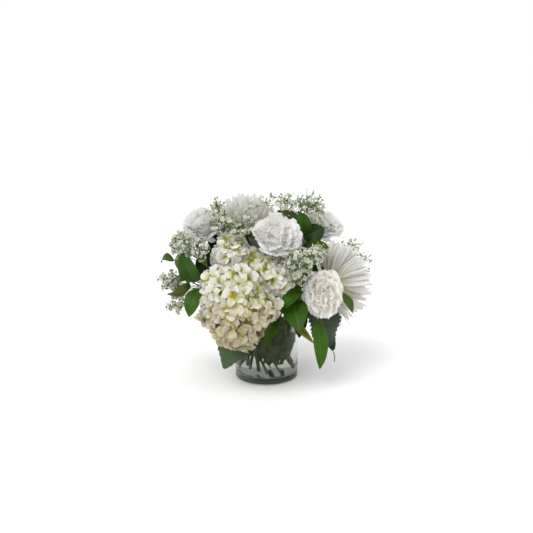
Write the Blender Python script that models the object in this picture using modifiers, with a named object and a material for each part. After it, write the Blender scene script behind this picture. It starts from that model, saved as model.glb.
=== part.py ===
"""Flower arrangement of white hydrangea, carnations and football mums, with baby's breath and salal leaves,
standing in water in a clear glass cylinder vase.

Metres, +Z up. The origin is the centre of the vase's foot, and the front of the arrangement faces -Y.
Every cut stem leans across the vase in one swirl, so that no two stems cross, and bends over the rim to its flower.
"""

import math

import bmesh
import bpy
import numpy as np
from mathutils import Matrix, Vector

# Vase and water
VASE_RADIUS = 0.060
VASE_HEIGHT = 0.130
VASE_WALL = 0.0035
VASE_FLOOR = 0.012
FOOT_ROUNDING = 0.006
WATER_LEVEL = 0.095
TURNED_STEPS = 40

# Clearances between neighbours
GAP = 0.0004
SOCKET_GAP = 0.0006

# Swirl of the stems: radius at the mouth, radius at the floor, and the turn between the two, in degrees
OUTER_RING = (0.0470, 0.0440, 100.0)
INNER_RING = (0.0270, 0.0260, 95.0)
MOUTH_Z = 0.134
STEM_SPANS = 3
NECK = 0.010

# Stem radii
HYDRANGEA_STEM = 0.0036
MUM_STEM = 0.0030
CARNATION_STEM = 0.0022
TWIG = 0.0016
SPRAY_STEM = 0.0012
PEDICEL = 0.0007
FLORET = 0.0045
FLORETS_PER_CLOUD = 4

# Mopheads: how closely the florets' dimples follow each other, and their depth
MOPHEAD_WAVES = 11.0
MOPHEAD_RELIEF = 0.0025

# Leaves: the midrib's fold is a share of the half width, and the stalk starts this far from the twig's middle
LEAF_THICKNESS = 0.0009
LEAF_STALK = 0.0012
LEAF_FOLD = 0.22
LEAF_STANDOFF = 0.0045

# Colour and roughness of each material
MATERIALS = {
    "clear_glass": ((0.82, 0.88, 0.86), 0.05),
    "water": ((0.80, 0.86, 0.84), 0.05),
    "hydrangea_petal": ((0.90, 0.89, 0.74), 0.60),
    "carnation_petal": ((0.93, 0.91, 0.88), 0.60),
    "mum_petal": ((0.93, 0.93, 0.88), 0.55),
    "gypsophila": ((0.85, 0.87, 0.80), 0.60),
    "green_stem": ((0.22, 0.33, 0.10), 0.50),
    "woody_twig": ((0.30, 0.26, 0.13), 0.65),
    "salal_leaf": ((0.10, 0.25, 0.05), 0.35),
    "hydrangea_leaf": ((0.07, 0.16, 0.07), 0.50),
}

# Hydrangea heads: middle, direction that the head faces, how far its flat back lies behind the middle, how often
# its icosphere is divided, and the lumps (offset from the middle, radius) whose florets make its domed outline.
HYDRANGEAS = {
    "hydrangea_front": {
        "middle": (-0.052, -0.104, 0.164),
        "facing": (-0.30, -0.95, 0.05),
        "back": 0.022,
        "detail": 4,
        "lumps": (
            ((0.000, 0.000, 0.008), 0.044),
            ((-0.029, 0.010, 0.034), 0.032),
            ((-0.030, 0.006, -0.012), 0.035),
            ((0.004, 0.004, -0.036), 0.041),
            ((0.038, 0.004, -0.004), 0.036),
            ((0.008, 0.006, 0.044), 0.026),
        ),
        "stem": {"angle": 262.0, "ring": OUTER_RING, "foot": 0.0185, "via": ()},
    },
    "hydrangea_upper": {
        "middle": (-0.028, -0.030, 0.214),
        "facing": (-0.15, -0.70, 0.70),
        "back": 0.024,
        "detail": 3,
        "lumps": (
            ((0.000, 0.000, 0.000), 0.034),
            ((-0.036, -0.002, 0.027), 0.036),
            ((0.042, -0.026, -0.007), 0.035),
        ),
        "stem": {"angle": 236.0, "ring": INNER_RING, "foot": 0.0300, "via": ((-0.020, -0.010, 0.165),)},
    },
    "hydrangea_back": {
        "middle": (-0.070, 0.096, 0.160),
        "facing": (-0.50, 0.85, 0.05),
        "back": 0.026,
        "detail": 3,
        "lumps": (
            ((0.000, 0.000, 0.004), 0.046),
            ((0.030, 0.010, 0.020), 0.034),
            ((-0.022, -0.016, 0.026), 0.034),
            ((-0.020, -0.014, -0.026), 0.036),
            ((0.026, 0.012, -0.026), 0.036),
        ),
        "stem": {"angle": 128.0, "ring": OUTER_RING, "foot": 0.0300, "via": ()},
    },
}

# Carnations and mums: base of the bloom, direction that it faces, radius, height above the base, and its stem.
CARNATIONS = {
    "carnation_front": {
        "base": (0.012, -0.050, 0.263),
        "facing": (0.02, -0.62, 0.78),
        "radius": 0.045,
        "height": 0.050,
        "stem": {"angle": 292.0, "ring": INNER_RING, "foot": 0.0290,
                 "via": ((0.022, 0.006, 0.175), (0.018, -0.004, 0.232))},
    },
    "carnation_right": {
        "base": (0.1012, -0.062, 0.1798),
        "facing": (0.08, -0.98, -0.12),
        "radius": 0.043,
        "height": 0.050,
        "squeeze": 0.86,
        "stem": {"angle": 330.0, "ring": OUTER_RING, "foot": 0.0185,
                 "via": ((0.064, -0.030, 0.154), (0.084, -0.034, 0.178))},
    },
    "carnation_left": {
        "base": (-0.112, 0.010, 0.274),
        "facing": (-0.32, -0.60, 0.73),
        "radius": 0.038,
        "height": 0.048,
        "stem": {"angle": 176.0, "ring": OUTER_RING, "foot": 0.0185,
                 "via": ((-0.062, 0.008, 0.165), (-0.094, 0.006, 0.235))},
    },
    "carnation_upper_right": {
        "base": (0.106, 0.064, 0.273),
        "facing": (0.24, -0.48, 0.84),
        "radius": 0.040,
        "height": 0.044,
        "stem": {"angle": 14.0, "ring": OUTER_RING, "foot": 0.0260,
                 "via": ((0.052, 0.026, 0.172), (0.077, 0.042, 0.232))},
    },
    "carnation_back_top": {
        "base": (-0.034, 0.088, 0.232),
        "facing": (-0.10, 0.80, 0.60),
        "radius": 0.038,
        "height": 0.044,
        "stem": {"angle": 100.0, "ring": INNER_RING, "foot": 0.0185,
                 "via": ((-0.014, 0.036, 0.170), (-0.024, 0.056, 0.205))},
    },
}

MUMS = {
    "mum_right": {
        "base": (0.120, 0.008, 0.186),
        "facing": (0.72, 0.58, 0.34),
        "radius": 0.075,
        "height": 0.078,
        "squeeze": 0.80,
        "stem": {"angle": 350.0, "ring": OUTER_RING, "foot": 0.0185,
                 "via": ((0.068, 0.006, 0.156), (0.092, 0.010, 0.172))},
    },
    "mum_top": {
        "base": (-0.018, 0.042, 0.279),
        "facing": (0.10, -0.03, 1.00),
        "radius": 0.075,
        "height": 0.072,
        "press": 0.70,
        "stem": {"angle": 150.0, "ring": INNER_RING, "foot": 0.0185,
                 "via": ((-0.024, 0.022, 0.170), (-0.022, 0.032, 0.230))},
    },
    "mum_back": {
        "base": (0.052, 0.082, 0.220),
        "facing": (0.25, 0.88, 0.40),
        "radius": 0.058,
        "height": 0.062,
        "stem": {"angle": 48.0, "ring": OUTER_RING, "foot": 0.0185,
                 "via": ((0.040, 0.048, 0.165), (0.048, 0.060, 0.195))},
    },
}

# Baby's breath: the main stem, then its clouds of florets (middle, radius).
SPRAYS = {
    "gypsophila_left": {
        "stem": {"angle": 192.0, "ring": OUTER_RING, "foot": 0.0300,
                 "via": ((-0.072, -0.026, 0.182), (-0.108, -0.036, 0.222))},
        "clouds": (((-0.148, -0.060, 0.268), 0.014), ((-0.152, -0.042, 0.254), 0.014),
                   ((-0.122, -0.056, 0.256), 0.013)),
    },
    "gypsophila_far_left": {
        "stem": {"angle": 160.0, "ring": OUTER_RING, "foot": 0.0420,
                 "via": ((-0.075, 0.018, 0.156), (-0.120, 0.014, 0.168))},
        "clouds": (((-0.184, 0.004, 0.186), 0.015), ((-0.168, 0.014, 0.174), 0.013),
                   ((-0.170, 0.006, 0.140), 0.014)),
    },
    "gypsophila_upper_left": {
        "stem": {"angle": 214.0, "ring": INNER_RING, "foot": 0.0420,
                 "via": ((-0.042, 0.008, 0.190), (-0.072, 0.006, 0.264))},
        "clouds": (((-0.088, -0.024, 0.322), 0.013), ((-0.080, -0.034, 0.296), 0.011),
                   ((-0.050, -0.032, 0.288), 0.008)),
    },
    "gypsophila_top": {
        "stem": {"angle": 12.0, "ring": INNER_RING, "foot": 0.0420,
                 "via": ((0.030, 0.024, 0.190), (0.042, 0.022, 0.255), (0.046, 0.020, 0.286))},
        "clouds": (((0.038, -0.016, 0.331), 0.011), ((0.072, 0.030, 0.328), 0.012),
                   ((0.088, 0.016, 0.324), 0.011)),
    },
    "gypsophila_centre": {
        "stem": {"angle": 316.0, "ring": OUTER_RING, "foot": 0.0300,
                 "via": ((0.048, -0.034, 0.166), (0.056, -0.050, 0.204))},
        "clouds": (((0.050, -0.106, 0.246), 0.012), ((0.070, -0.084, 0.242), 0.014),
                   ((0.057, -0.086, 0.216), 0.013), ((0.084, -0.060, 0.246), 0.011)),
    },
    "gypsophila_right": {
        "stem": {"angle": 32.0, "ring": OUTER_RING, "foot": 0.0420,
                 "via": ((0.070, 0.050, 0.160), (0.104, 0.088, 0.184))},
        "clouds": (((0.168, 0.094, 0.234), 0.013), ((0.188, 0.092, 0.206), 0.012),
                   ((0.160, 0.110, 0.204), 0.012)),
    },
    "gypsophila_back": {
        "stem": {"angle": 110.0, "ring": OUTER_RING, "foot": 0.0420,
                 "via": ((0.002, 0.070, 0.172), (0.006, 0.102, 0.190))},
        "clouds": (((0.004, 0.152, 0.236), 0.013), ((0.022, 0.156, 0.204), 0.012),
                   ((-0.014, 0.154, 0.206), 0.011)),
    },
}

# Salal twigs, each with its leaves: place along the twig from 0 at the vase's mouth to 1 at the tip, tip of the
# leaf, direction that its upper face looks, width, and how far its middle bows out of the straight.
TWIGS = {
    "salal_left": {
        "stem": {"angle": 208.0, "ring": OUTER_RING, "foot": 0.0185,
                 "via": ((-0.084, -0.030, 0.166), (-0.134, -0.032, 0.189), (-0.168, -0.010, 0.227))},
        "leaves": (
            (1.00, (-0.197, 0.000, 0.220), (-0.2, -0.5, 0.8), 0.018, 0.011),
            (0.78, (-0.160, -0.027, 0.246), (-0.7, -0.7, 0.1), 0.020, 0.006),
            (0.64, (-0.149, -0.060, 0.249), (-0.2, -0.9, 0.3), 0.034, 0.004),
            (0.46, (-0.116, -0.002, 0.248), (0.1, -0.9, 0.3), 0.042, 0.004),
            (0.71, (-0.182, -0.030, 0.165), (0.1, -0.5, -0.8), 0.036, 0.004),
            (0.57, (-0.140, -0.064, 0.134), (-0.3, -0.9, 0.2), 0.030, 0.008),
        ),
    },
    "salal_top": {
        "stem": {"angle": 340.0, "ring": INNER_RING, "foot": 0.0300,
                 "via": ((0.040, 0.004, 0.190), (0.066, 0.004, 0.245), (0.063, 0.006, 0.276))},
        "leaves": (
            (1.00, (0.020, -0.016, 0.320), (0.1, -0.8, 0.5), 0.036, 0.004),
            (0.92, (0.059, -0.022, 0.319), (0.2, -0.9, 0.3), 0.034, 0.004),
            (0.86, (0.108, 0.004, 0.285), (0.1, -0.9, 0.4), 0.034, 0.004),
            (0.62, (0.111, -0.048, 0.257), (0.0, -0.8, 0.6), 0.034, 0.004),
        ),
    },
    "salal_front": {
        "stem": {"angle": 278.0, "ring": OUTER_RING, "foot": 0.0300,
                 "via": ((0.024, -0.060, 0.156), (0.044, -0.062, 0.166), (0.066, -0.060, 0.184))},
        "leaves": (
            (1.00, (0.023, -0.106, 0.152), (-0.3, -0.6, 0.75), 0.025, 0.006),
            (0.70, (0.057, -0.120, 0.123), (0.0, -0.8, 0.6), 0.041, 0.004),
            (0.34, (-0.002, -0.088, 0.084), (-0.3, -0.9, 0.2), 0.024, 0.006),
        ),
    },
    "salal_low": {
        "stem": {"angle": 304.0, "ring": OUTER_RING, "foot": 0.0420,
                 "via": ((0.052, -0.048, 0.146), (0.074, -0.050, 0.142), (0.092, -0.056, 0.130))},
        "leaves": (
            (1.00, (0.096, -0.082, 0.041), (0.1, -0.9, 0.2), 0.024, 0.010),
            (0.10, (0.084, -0.090, 0.092), (-0.5, -0.7, 0.6), 0.013, 0.010),
        ),
    },
    "salal_right": {
        "stem": {"angle": 340.0, "ring": OUTER_RING, "foot": 0.0300,
                 "via": ((0.070, -0.024, 0.148), (0.096, -0.036, 0.160), (0.132, -0.060, 0.180))},
        "leaves": (
            (1.00, (0.152, -0.084, 0.146), (0.5, -0.7, 0.5), 0.016, 0.004),
            (0.30, (0.060, -0.044, 0.088), (-0.2, -0.9, 0.3), 0.024, 0.004),
        ),
    },
    "salal_back": {
        "stem": {"angle": 90.0, "ring": OUTER_RING, "foot": 0.0185,
                 "via": ((0.006, 0.068, 0.148), (0.012, 0.092, 0.156), (0.014, 0.122, 0.160))},
        "leaves": (
            (1.00, (0.020, 0.172, 0.142), (0.1, 0.5, 0.8), 0.038, 0.010),
            (0.80, (0.056, 0.138, 0.104), (0.3, 0.8, 0.4), 0.036, 0.010),
            (0.50, (0.012, 0.112, 0.078), (0.0, 0.9, 0.3), 0.034, 0.008),
        ),
    },
}

# Toothed hydrangea leaves: base, tip, direction of the upper face, width, bow.
TOOTHED_LEAVES = {
    "hydrangea_leaf_left": ((-0.034, -0.058, 0.142), (-0.077, -0.082, 0.042), (-0.2, -0.9, 0.3), 0.072, -0.004),
    "hydrangea_leaf_right": ((0.088, -0.026, 0.150), (0.121, -0.044, 0.064), (0.3, -0.9, 0.3), 0.058, 0.004),
    "hydrangea_leaf_back": ((-0.040, 0.058, 0.138), (-0.084, 0.074, 0.048), (-0.3, 0.9, 0.3), 0.060, -0.004),
}


def clear_scene():
    """An empty scene with a collection for the arrangement, one for the cutters and one for what is joined."""
    for obj in list(bpy.data.objects):
        bpy.data.objects.remove(obj)
    made = []
    for name in ("flower_arrangement", "cutters", "joined_solids"):
        collection = bpy.data.collections.new(name)
        bpy.context.scene.collection.children.link(collection)
        made.append(collection)
    return made


def make_materials():
    """One Principled material for each finish."""
    made = {}
    for name, (colour, roughness) in MATERIALS.items():
        material = bpy.data.materials.new(name)
        material.use_nodes = True
        shader = material.node_tree.nodes["Principled BSDF"]
        shader.inputs["Base Color"].default_value = (*colour, 1.0)
        shader.inputs["Roughness"].default_value = roughness
        if name in ("clear_glass", "water"):
            shader.inputs["Transmission Weight"].default_value = 1.0
        made[name] = material
    return made


def add_object(name, data, collection, material=None):
    """A new object of this mesh or curve, in the collection, with its material."""
    obj = bpy.data.objects.new(name, data)
    collection.objects.link(obj)
    if material:
        data.materials.append(material)
    return obj


def mesh_from(bm, name):
    """The bmesh as a smooth-shaded mesh."""
    bmesh.ops.recalc_face_normals(bm, faces=bm.faces)
    mesh = bpy.data.meshes.new(name)
    bm.to_mesh(mesh)
    bm.free()
    mesh.shade_smooth()
    return mesh


def arc(centre, radius, start, end, steps):
    """Points (r, z) on a round corner of a profile, from one angle to another, in degrees."""
    angles = np.radians(np.linspace(start, end, steps + 1))
    return [(centre[0] + radius * math.cos(a), centre[1] + radius * math.sin(a)) for a in angles]


def turned(name, profile, collection, material):
    """A solid of revolution: the profile of (r, z) points, from axis to axis, carried round Z by a Screw."""
    mesh = bpy.data.meshes.new(name)
    mesh.from_pydata([(r, 0.0, z) for r, z in profile], [(i, i + 1) for i in range(len(profile) - 1)], [])
    obj = add_object(name, mesh, collection, material)
    screw = obj.modifiers.new("turn", "SCREW")
    screw.steps = TURNED_STEPS
    screw.render_steps = TURNED_STEPS
    screw.use_merge_vertices = True
    screw.merge_threshold = 0.0001
    return obj


def vase_profile():
    """Up the inside from the floor, over the round rim, and down the outside to the foot."""
    inner = VASE_RADIUS - VASE_WALL
    rim = VASE_WALL / 2
    return [
        (0.0, VASE_FLOOR),
        *arc((inner - FOOT_ROUNDING, VASE_FLOOR + FOOT_ROUNDING), FOOT_ROUNDING, -90, 0, 3),
        *arc((VASE_RADIUS - rim, VASE_HEIGHT - rim), rim, 180, 0, 4),
        *arc((VASE_RADIUS - FOOT_ROUNDING, FOOT_ROUNDING), FOOT_ROUNDING, 0, -90, 3),
        (0.0, 0.0),
    ]


def water_profile():
    """From the middle of the surface out to the glass, and down round the vase's inner corner to its floor."""
    radius = VASE_RADIUS - VASE_WALL - GAP
    return [
        (0.0, WATER_LEVEL),
        (radius, WATER_LEVEL),
        *arc((radius - FOOT_ROUNDING, VASE_FLOOR + GAP + FOOT_ROUNDING), FOOT_ROUNDING, 0, -90, 3),
        (0.0, VASE_FLOOR + GAP),
    ]


def swirl_point(stem, z):
    """Where the straight lower run of a stem passes height z."""
    mouth_radius, floor_radius, turn = stem["ring"]
    at_mouth = math.radians(stem["angle"])
    at_floor = at_mouth + math.radians(turn)
    mouth = Vector((mouth_radius * math.cos(at_mouth), mouth_radius * math.sin(at_mouth), MOUTH_Z))
    floor = Vector((floor_radius * math.cos(at_floor), floor_radius * math.sin(at_floor), VASE_FLOOR))
    return floor.lerp(mouth, (z - VASE_FLOOR) / (MOUTH_Z - VASE_FLOOR))


def smooth_route(points, spans):
    """Points along a smooth curve through these points, each stretch cut into this many spans (Catmull-Rom)."""
    points = [Vector(p) for p in points]
    padded = [points[0] * 2 - points[1], *points, points[-1] * 2 - points[-2]]
    route = [points[0]]
    for a, b, c, d in zip(padded, padded[1:], padded[2:], padded[3:]):
        for step in range(1, spans + 1):
            t = step / spans
            linear = (c - a) * t
            square = (2 * a - 5 * b + 4 * c - d) * t**2
            cube = (3 * b - a - 3 * c + d) * t**3
            route.append((2 * b + linear + square + cube) / 2)
    return route


def stem_route(stem, head=None):
    """Foot, mouth and the smooth bend above it, which runs straight into the flower head (end, facing)."""
    foot = swirl_point(stem, stem["foot"])
    mouth = swirl_point(stem, MOUTH_Z)
    if head is None:
        return [foot, *smooth_route([mouth, *stem["via"]], STEM_SPANS)]
    end, facing = head
    neck = end - facing * NECK
    return [foot, *smooth_route([mouth, *stem["via"], neck], STEM_SPANS), end]


def tube_curve(name, route, radius, resolution):
    """Curve data along the route, round in section, with closed ends."""
    curve = bpy.data.curves.new(name, "CURVE")
    curve.dimensions = "3D"
    curve.bevel_depth = radius
    curve.bevel_resolution = resolution
    curve.use_fill_caps = True
    spline = curve.splines.new("POLY")
    spline.points.add(len(route) - 1)
    for point, place in zip(spline.points, route):
        point.co = (*place, 1.0)
    return curve


def add_cutter(name, mesh, collection):
    """A helper solid, which is cut away or joined and doesn't show itself."""
    cutter = add_object(name, mesh, collection)
    cutter.hide_render = True
    cutter.display_type = "WIRE"
    return cutter


def add_socket(name, stem, radius, collection):
    """The cutter of a stem's hole in the water: a six-sided bar that clears the stem on all sides."""
    sides = 6
    bottom = swirl_point(stem, stem["foot"])
    top = swirl_point(stem, WATER_LEVEL + 0.010)
    along = (top - bottom).normalized()
    bottom -= along * SOCKET_GAP * 2
    reach = (radius + SOCKET_GAP) / math.cos(math.pi / sides)
    bm = bmesh.new()
    bmesh.ops.create_cone(
        bm, cap_ends=True, segments=sides, radius1=reach, radius2=reach, depth=(top - bottom).length
    )
    cutter = add_cutter(name, mesh_from(bm, name), collection)
    cutter.location = (top + bottom) / 2
    cutter.rotation_mode = "QUATERNION"
    cutter.rotation_quaternion = along.to_track_quat("Z", "Y")


def ray_to_lump(direction, offset, radius):
    """Distance from the middle to the far side of a lump, along each direction; 0 where it is missed."""
    along = direction @ offset
    square = radius**2 - offset @ offset + along**2
    return np.where(square > 0, along + np.sqrt(np.maximum(square, 0)), 0)


def add_hydrangea(name, head, collection, material):
    """A mophead: an icosphere swollen onto its lumps, dimpled between florets, and cut flat behind."""
    bm = bmesh.new()
    bmesh.ops.create_icosphere(bm, subdivisions=head["detail"], radius=1.0)
    direction = np.array([v.co.normalized() for v in bm.verts])
    lumps = [(np.array(offset), radius) for offset, radius in head["lumps"]]
    reach = np.max([ray_to_lump(direction, offset, radius) for offset, radius in lumps], axis=0)
    x, y, z = MOPHEAD_WAVES * direction.T
    reach += MOPHEAD_RELIEF * (np.sin(x) * np.sin(y + 1) + np.sin(z + 2) * np.sin(x + 3))
    facing = np.array(Vector(head["facing"]).normalized())
    behind = np.maximum(-direction @ facing, 1e-6)
    reach = np.minimum(reach, head["back"] / behind)
    for vert, place in zip(bm.verts, direction * reach[:, None]):
        vert.co = place
    obj = add_object(name, mesh_from(bm, name), collection, material)
    obj.location = head["middle"]


def add_bloom(name, bloom, kind, collection, material):
    """A bloom on its calyx: a UV sphere laid onto a turned profile, fluted into rows of staggered petals.

    squeeze and press narrow a bloom that stands between its neighbours, along its own X and Y.
    """
    profile, petals, depth = kind
    bm = bmesh.new()
    bmesh.ops.create_uvsphere(bm, u_segments=3 * petals, v_segments=len(profile) - 1, radius=1.0)
    shares = np.linspace(0, 1, len(profile))
    radii, heights = np.array(profile).T
    for vert in bm.verts:
        angle = math.atan2(vert.co.y, vert.co.x)
        share = math.acos(max(-1.0, min(1.0, vert.co.z))) / math.pi
        radius = float(np.interp(share, shares, radii))
        height = float(np.interp(share, shares, heights))
        row = share * (len(profile) - 1) * math.pi / 2
        flute = depth * math.cos(petals * angle + row) * min(1.0, 2 * radius) * (height > 0)
        across = bloom["radius"] * radius * (1 + flute)
        lift = bloom["height"] * height * (1 + flute / 2)
        x = across * math.cos(angle) * bloom.get("squeeze", 1.0)
        y = across * math.sin(angle) * bloom.get("press", 1.0)
        vert.co = (x, y, lift)
    obj = add_object(name, mesh_from(bm, name), collection, material)
    obj.location = bloom["base"]
    obj.rotation_mode = "QUATERNION"
    obj.rotation_quaternion = Vector(bloom["facing"]).to_track_quat("Z", "Y")


def add_leaf(name, leaf, collection, material, rows=6, teeth=0.0):
    """A leaf: a grid narrowed to its stalk and its tip, folded a little along its midrib, and solidified."""
    base, tip, upper, width, bow = leaf
    base, tip = Vector(base), Vector(tip)
    along = tip - base
    side = along.cross(Vector(upper)).normalized()
    normal = side.cross(along).normalized()
    bm = bmesh.new()
    bmesh.ops.create_grid(bm, x_segments=2, y_segments=rows, size=1.0)
    for vert in bm.verts:
        across, share = vert.co.x, (vert.co.y + 1) / 2
        half = width / 2 * math.sin(math.pi * share**0.75) ** 0.85 + LEAF_STALK
        half *= 1 + teeth * (1 if round(share * rows) % 2 else -1)
        rise = bow * math.sin(math.pi * share) + LEAF_FOLD * abs(across) * half
        vert.co = base + along * share + side * (across * half) + normal * rise
    obj = add_object(name, mesh_from(bm, name), collection, material)
    solidify = obj.modifiers.new("thickness", "SOLIDIFY")
    solidify.thickness = LEAF_THICKNESS
    solidify.offset = 0.0


def add_bar(bm, start, end, radius):
    """A three-sided bar between two points, as a branch or a pedicel."""
    along = end - start
    place = Matrix.Translation((start + end) / 2) @ along.to_track_quat("Z", "Y").to_matrix().to_4x4()
    bmesh.ops.create_cone(
        bm, cap_ends=True, segments=3, radius1=radius, radius2=radius, depth=along.length, matrix=place
    )


def spray_crown(fork, clouds):
    """The branches from the fork of a spray, with the pedicels and florets of each cloud."""
    bm = bmesh.new()
    for middle, radius in clouds:
        middle = Vector(middle)
        outward = (middle - fork).normalized()
        joint = middle - outward * radius
        turn = outward.to_track_quat("Z", "Y")
        add_bar(bm, fork - outward * SPRAY_STEM / 2, joint + outward * PEDICEL, PEDICEL * 1.3)
        for number in range(FLORETS_PER_CLOUD):
            angle = 2 * math.pi * number / (FLORETS_PER_CLOUD - 1)
            spread = Vector((math.cos(angle), math.sin(angle), 0.2 * (-1) ** number))
            if number == FLORETS_PER_CLOUD - 1:
                spread = Vector((0.0, 0.1, 0.9))
            floret = middle + turn @ (spread * radius)
            add_bar(bm, joint, floret, PEDICEL)
            place = Matrix.Translation(floret)
            bmesh.ops.create_icosphere(bm, subdivisions=1, radius=FLORET, matrix=place)
    return bm


def add_spray(name, spray, collection, joined, material):
    """Baby's breath: its main stem, joined by a Boolean with the crown of branches and florets."""
    route = stem_route(spray["stem"])
    curve = tube_curve(name, route, SPRAY_STEM, 1)
    guide = add_object(name + "_line", curve, joined)
    bpy.context.view_layer.update()
    stem = bpy.data.meshes.new_from_object(guide.evaluated_get(bpy.context.evaluated_depsgraph_get()))
    bpy.data.objects.remove(guide)
    bm = bmesh.new()
    bm.from_mesh(stem)
    bmesh.ops.remove_doubles(bm, verts=bm.verts, dist=0.00001)
    obj = add_object(name, mesh_from(bm, name), collection, material)
    crown = add_cutter(name + "_crown", mesh_from(spray_crown(route[-1], spray["clouds"]), name), joined)
    union = obj.modifiers.new("crown", "BOOLEAN")
    union.operation = "UNION"
    union.object = crown
    union.solver = "EXACT"
    union.use_self = True


# Profiles of a bloom, as (share of the radius, share of the height) from the crown to the foot of the calyx
CARNATION_PROFILE = (
    (0.00, 0.94), (0.34, 1.00), (0.70, 0.94), (0.95, 0.74), (1.00, 0.50),
    (0.80, 0.32), (0.30, 0.16), (0.17, 0.00), (0.15, -0.22), (0.00, -0.22),
)
MUM_PROFILE = (
    (0.00, 1.00), (0.36, 0.96), (0.68, 0.82), (0.90, 0.60), (1.00, 0.34),
    (0.86, 0.12), (0.46, 0.00), (0.16, -0.06), (0.12, -0.12), (0.00, -0.12),
)
# Each kind of bloom: profile, petals round a row, and how deep the flutes between them are
CARNATION = (CARNATION_PROFILE, 8, 0.09)
MUM = (MUM_PROFILE, 9, 0.07)


def bloom_end(bloom, kind):
    """Where the stem meets the foot of a bloom's calyx, and the direction that it runs there."""
    facing = Vector(bloom["facing"]).normalized()
    calyx = -kind[0][-1][1] * bloom["height"]
    return Vector(bloom["base"]) - facing * (calyx + GAP), facing


def twig_joint(route, place):
    """The point that lies this share of the way along the bend above the vase's mouth."""
    above = route[1:]
    step = place * (len(above) - 1)
    low = min(int(step), len(above) - 2)
    return above[low].lerp(above[low + 1], step - low)


def main():
    arrangement, cutters, joined = clear_scene()
    finish = make_materials()
    turned("vase", vase_profile(), arrangement, finish["clear_glass"])
    water = turned("water", water_profile(), arrangement, finish["water"])

    def add_stem(name, stem, radius, head, material, resolution):
        route = stem_route(stem, head)
        add_object(name, tube_curve(name, route, radius, resolution), arrangement, finish[material])
        add_socket(name + "_socket", stem, radius, cutters)
        return route

    for name, head in HYDRANGEAS.items():
        add_hydrangea(name + "_head", head, arrangement, finish["hydrangea_petal"])
        facing = Vector(head["facing"]).normalized()
        end = Vector(head["middle"]) - facing * (head["back"] + GAP)
        add_stem(name + "_stem", head["stem"], HYDRANGEA_STEM, (end, facing), "green_stem", 2)

    for blooms, kind, radius, petal in (
        (CARNATIONS, CARNATION, CARNATION_STEM, "carnation_petal"),
        (MUMS, MUM, MUM_STEM, "mum_petal"),
    ):
        for name, bloom in blooms.items():
            add_bloom(name + "_bloom", bloom, kind, arrangement, finish[petal])
            add_stem(name + "_stem", bloom["stem"], radius, bloom_end(bloom, kind), "green_stem", 2)

    for name, spray in SPRAYS.items():
        add_spray(name, spray, arrangement, joined, finish["gypsophila"])
        add_socket(name + "_socket", spray["stem"], SPRAY_STEM, cutters)

    for name, twig in TWIGS.items():
        route = add_stem(name + "_twig", twig["stem"], TWIG, None, "woody_twig", 1)
        for number, (place, tip, *shape) in enumerate(twig["leaves"], 1):
            joint = twig_joint(route, place)
            base = joint + (Vector(tip) - joint).normalized() * LEAF_STANDOFF
            add_leaf(f"{name}_leaf_{number}", (base, tip, *shape), arrangement, finish["salal_leaf"])

    for name, leaf in TOOTHED_LEAVES.items():
        add_leaf(name, leaf, arrangement, finish["hydrangea_leaf"], rows=10, teeth=0.05)

    holes = water.modifiers.new("stem_sockets", "BOOLEAN")
    holes.operation = "DIFFERENCE"
    holes.operand_type = "COLLECTION"
    holes.collection = cutters
    holes.solver = "EXACT"


main()
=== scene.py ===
"""Finish of the flower arrangement: every petal, leaf, stem and blossom, the glass and the water.

Metres, +Z up, front towards -Y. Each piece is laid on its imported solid: the solids give the stems' routes,
the blooms' axes and sizes, the mopheads' domes, the leaves' stalks and tips and the sprays' forks.
"""

import math
from functools import partialmethod

import bpy
import numpy as np
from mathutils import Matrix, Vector


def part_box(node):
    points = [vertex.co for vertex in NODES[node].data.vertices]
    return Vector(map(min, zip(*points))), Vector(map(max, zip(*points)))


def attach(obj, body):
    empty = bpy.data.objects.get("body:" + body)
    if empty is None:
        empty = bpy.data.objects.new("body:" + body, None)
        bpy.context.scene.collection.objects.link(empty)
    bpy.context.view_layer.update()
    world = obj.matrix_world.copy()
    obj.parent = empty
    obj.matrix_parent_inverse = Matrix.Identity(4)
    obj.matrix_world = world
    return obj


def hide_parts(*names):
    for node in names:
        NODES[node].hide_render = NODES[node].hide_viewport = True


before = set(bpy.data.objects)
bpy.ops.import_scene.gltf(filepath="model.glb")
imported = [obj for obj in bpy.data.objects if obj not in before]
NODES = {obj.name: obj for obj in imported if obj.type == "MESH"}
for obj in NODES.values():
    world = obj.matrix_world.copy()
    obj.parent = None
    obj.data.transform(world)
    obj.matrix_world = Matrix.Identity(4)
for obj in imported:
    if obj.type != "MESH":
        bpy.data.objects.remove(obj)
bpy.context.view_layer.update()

TURN = 2 * math.pi
GOLDEN_ANGLE = math.pi * (3 - math.sqrt(5))
SHARP_EDGE = math.radians(70)


# ---- arrays


def seeded(name):
    """Random numbers that are the same on each run: the letters of the name are the seed."""
    return np.random.default_rng(list(name.encode()))


def lengths(vectors):
    """The length of each vector."""
    return np.linalg.norm(vectors, axis=-1)


def between(some, others):
    """The distances (some, others) from each of some points to each of the others."""
    return lengths(some[:, None] - others)


def unit(vectors):
    """The vectors, each divided by its length."""
    return vectors / np.maximum(np.linalg.norm(vectors, axis=-1, keepdims=True), 1e-12)


def swung(x, y, angle):
    """x and y turned by an angle: (x cos a - y sin a, x sin a + y cos a)."""
    cos, sin = np.cos(angle), np.sin(angle)
    return x * cos - y * sin, x * sin + y * cos


def grid_of(x, y, z):
    """Points of these coordinates, which are drawn out to one shape."""
    return np.stack(np.broadcast_arrays(x, y, z), axis=-1)


def axes(facing, roll):
    """A side, an up and the facing direction for each facing, at right angles; roll turns side and up."""
    facing = unit(np.asarray(facing, float))
    helper = np.where(np.abs(facing[..., 2:]) < 0.9, (0.0, 0.0, 1.0), (0.0, 1.0, 0.0))
    side = unit(np.cross(helper, facing))
    return np.stack((*swung(side, np.cross(facing, side), -roll[..., None]), facing), axis=-2)


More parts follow.
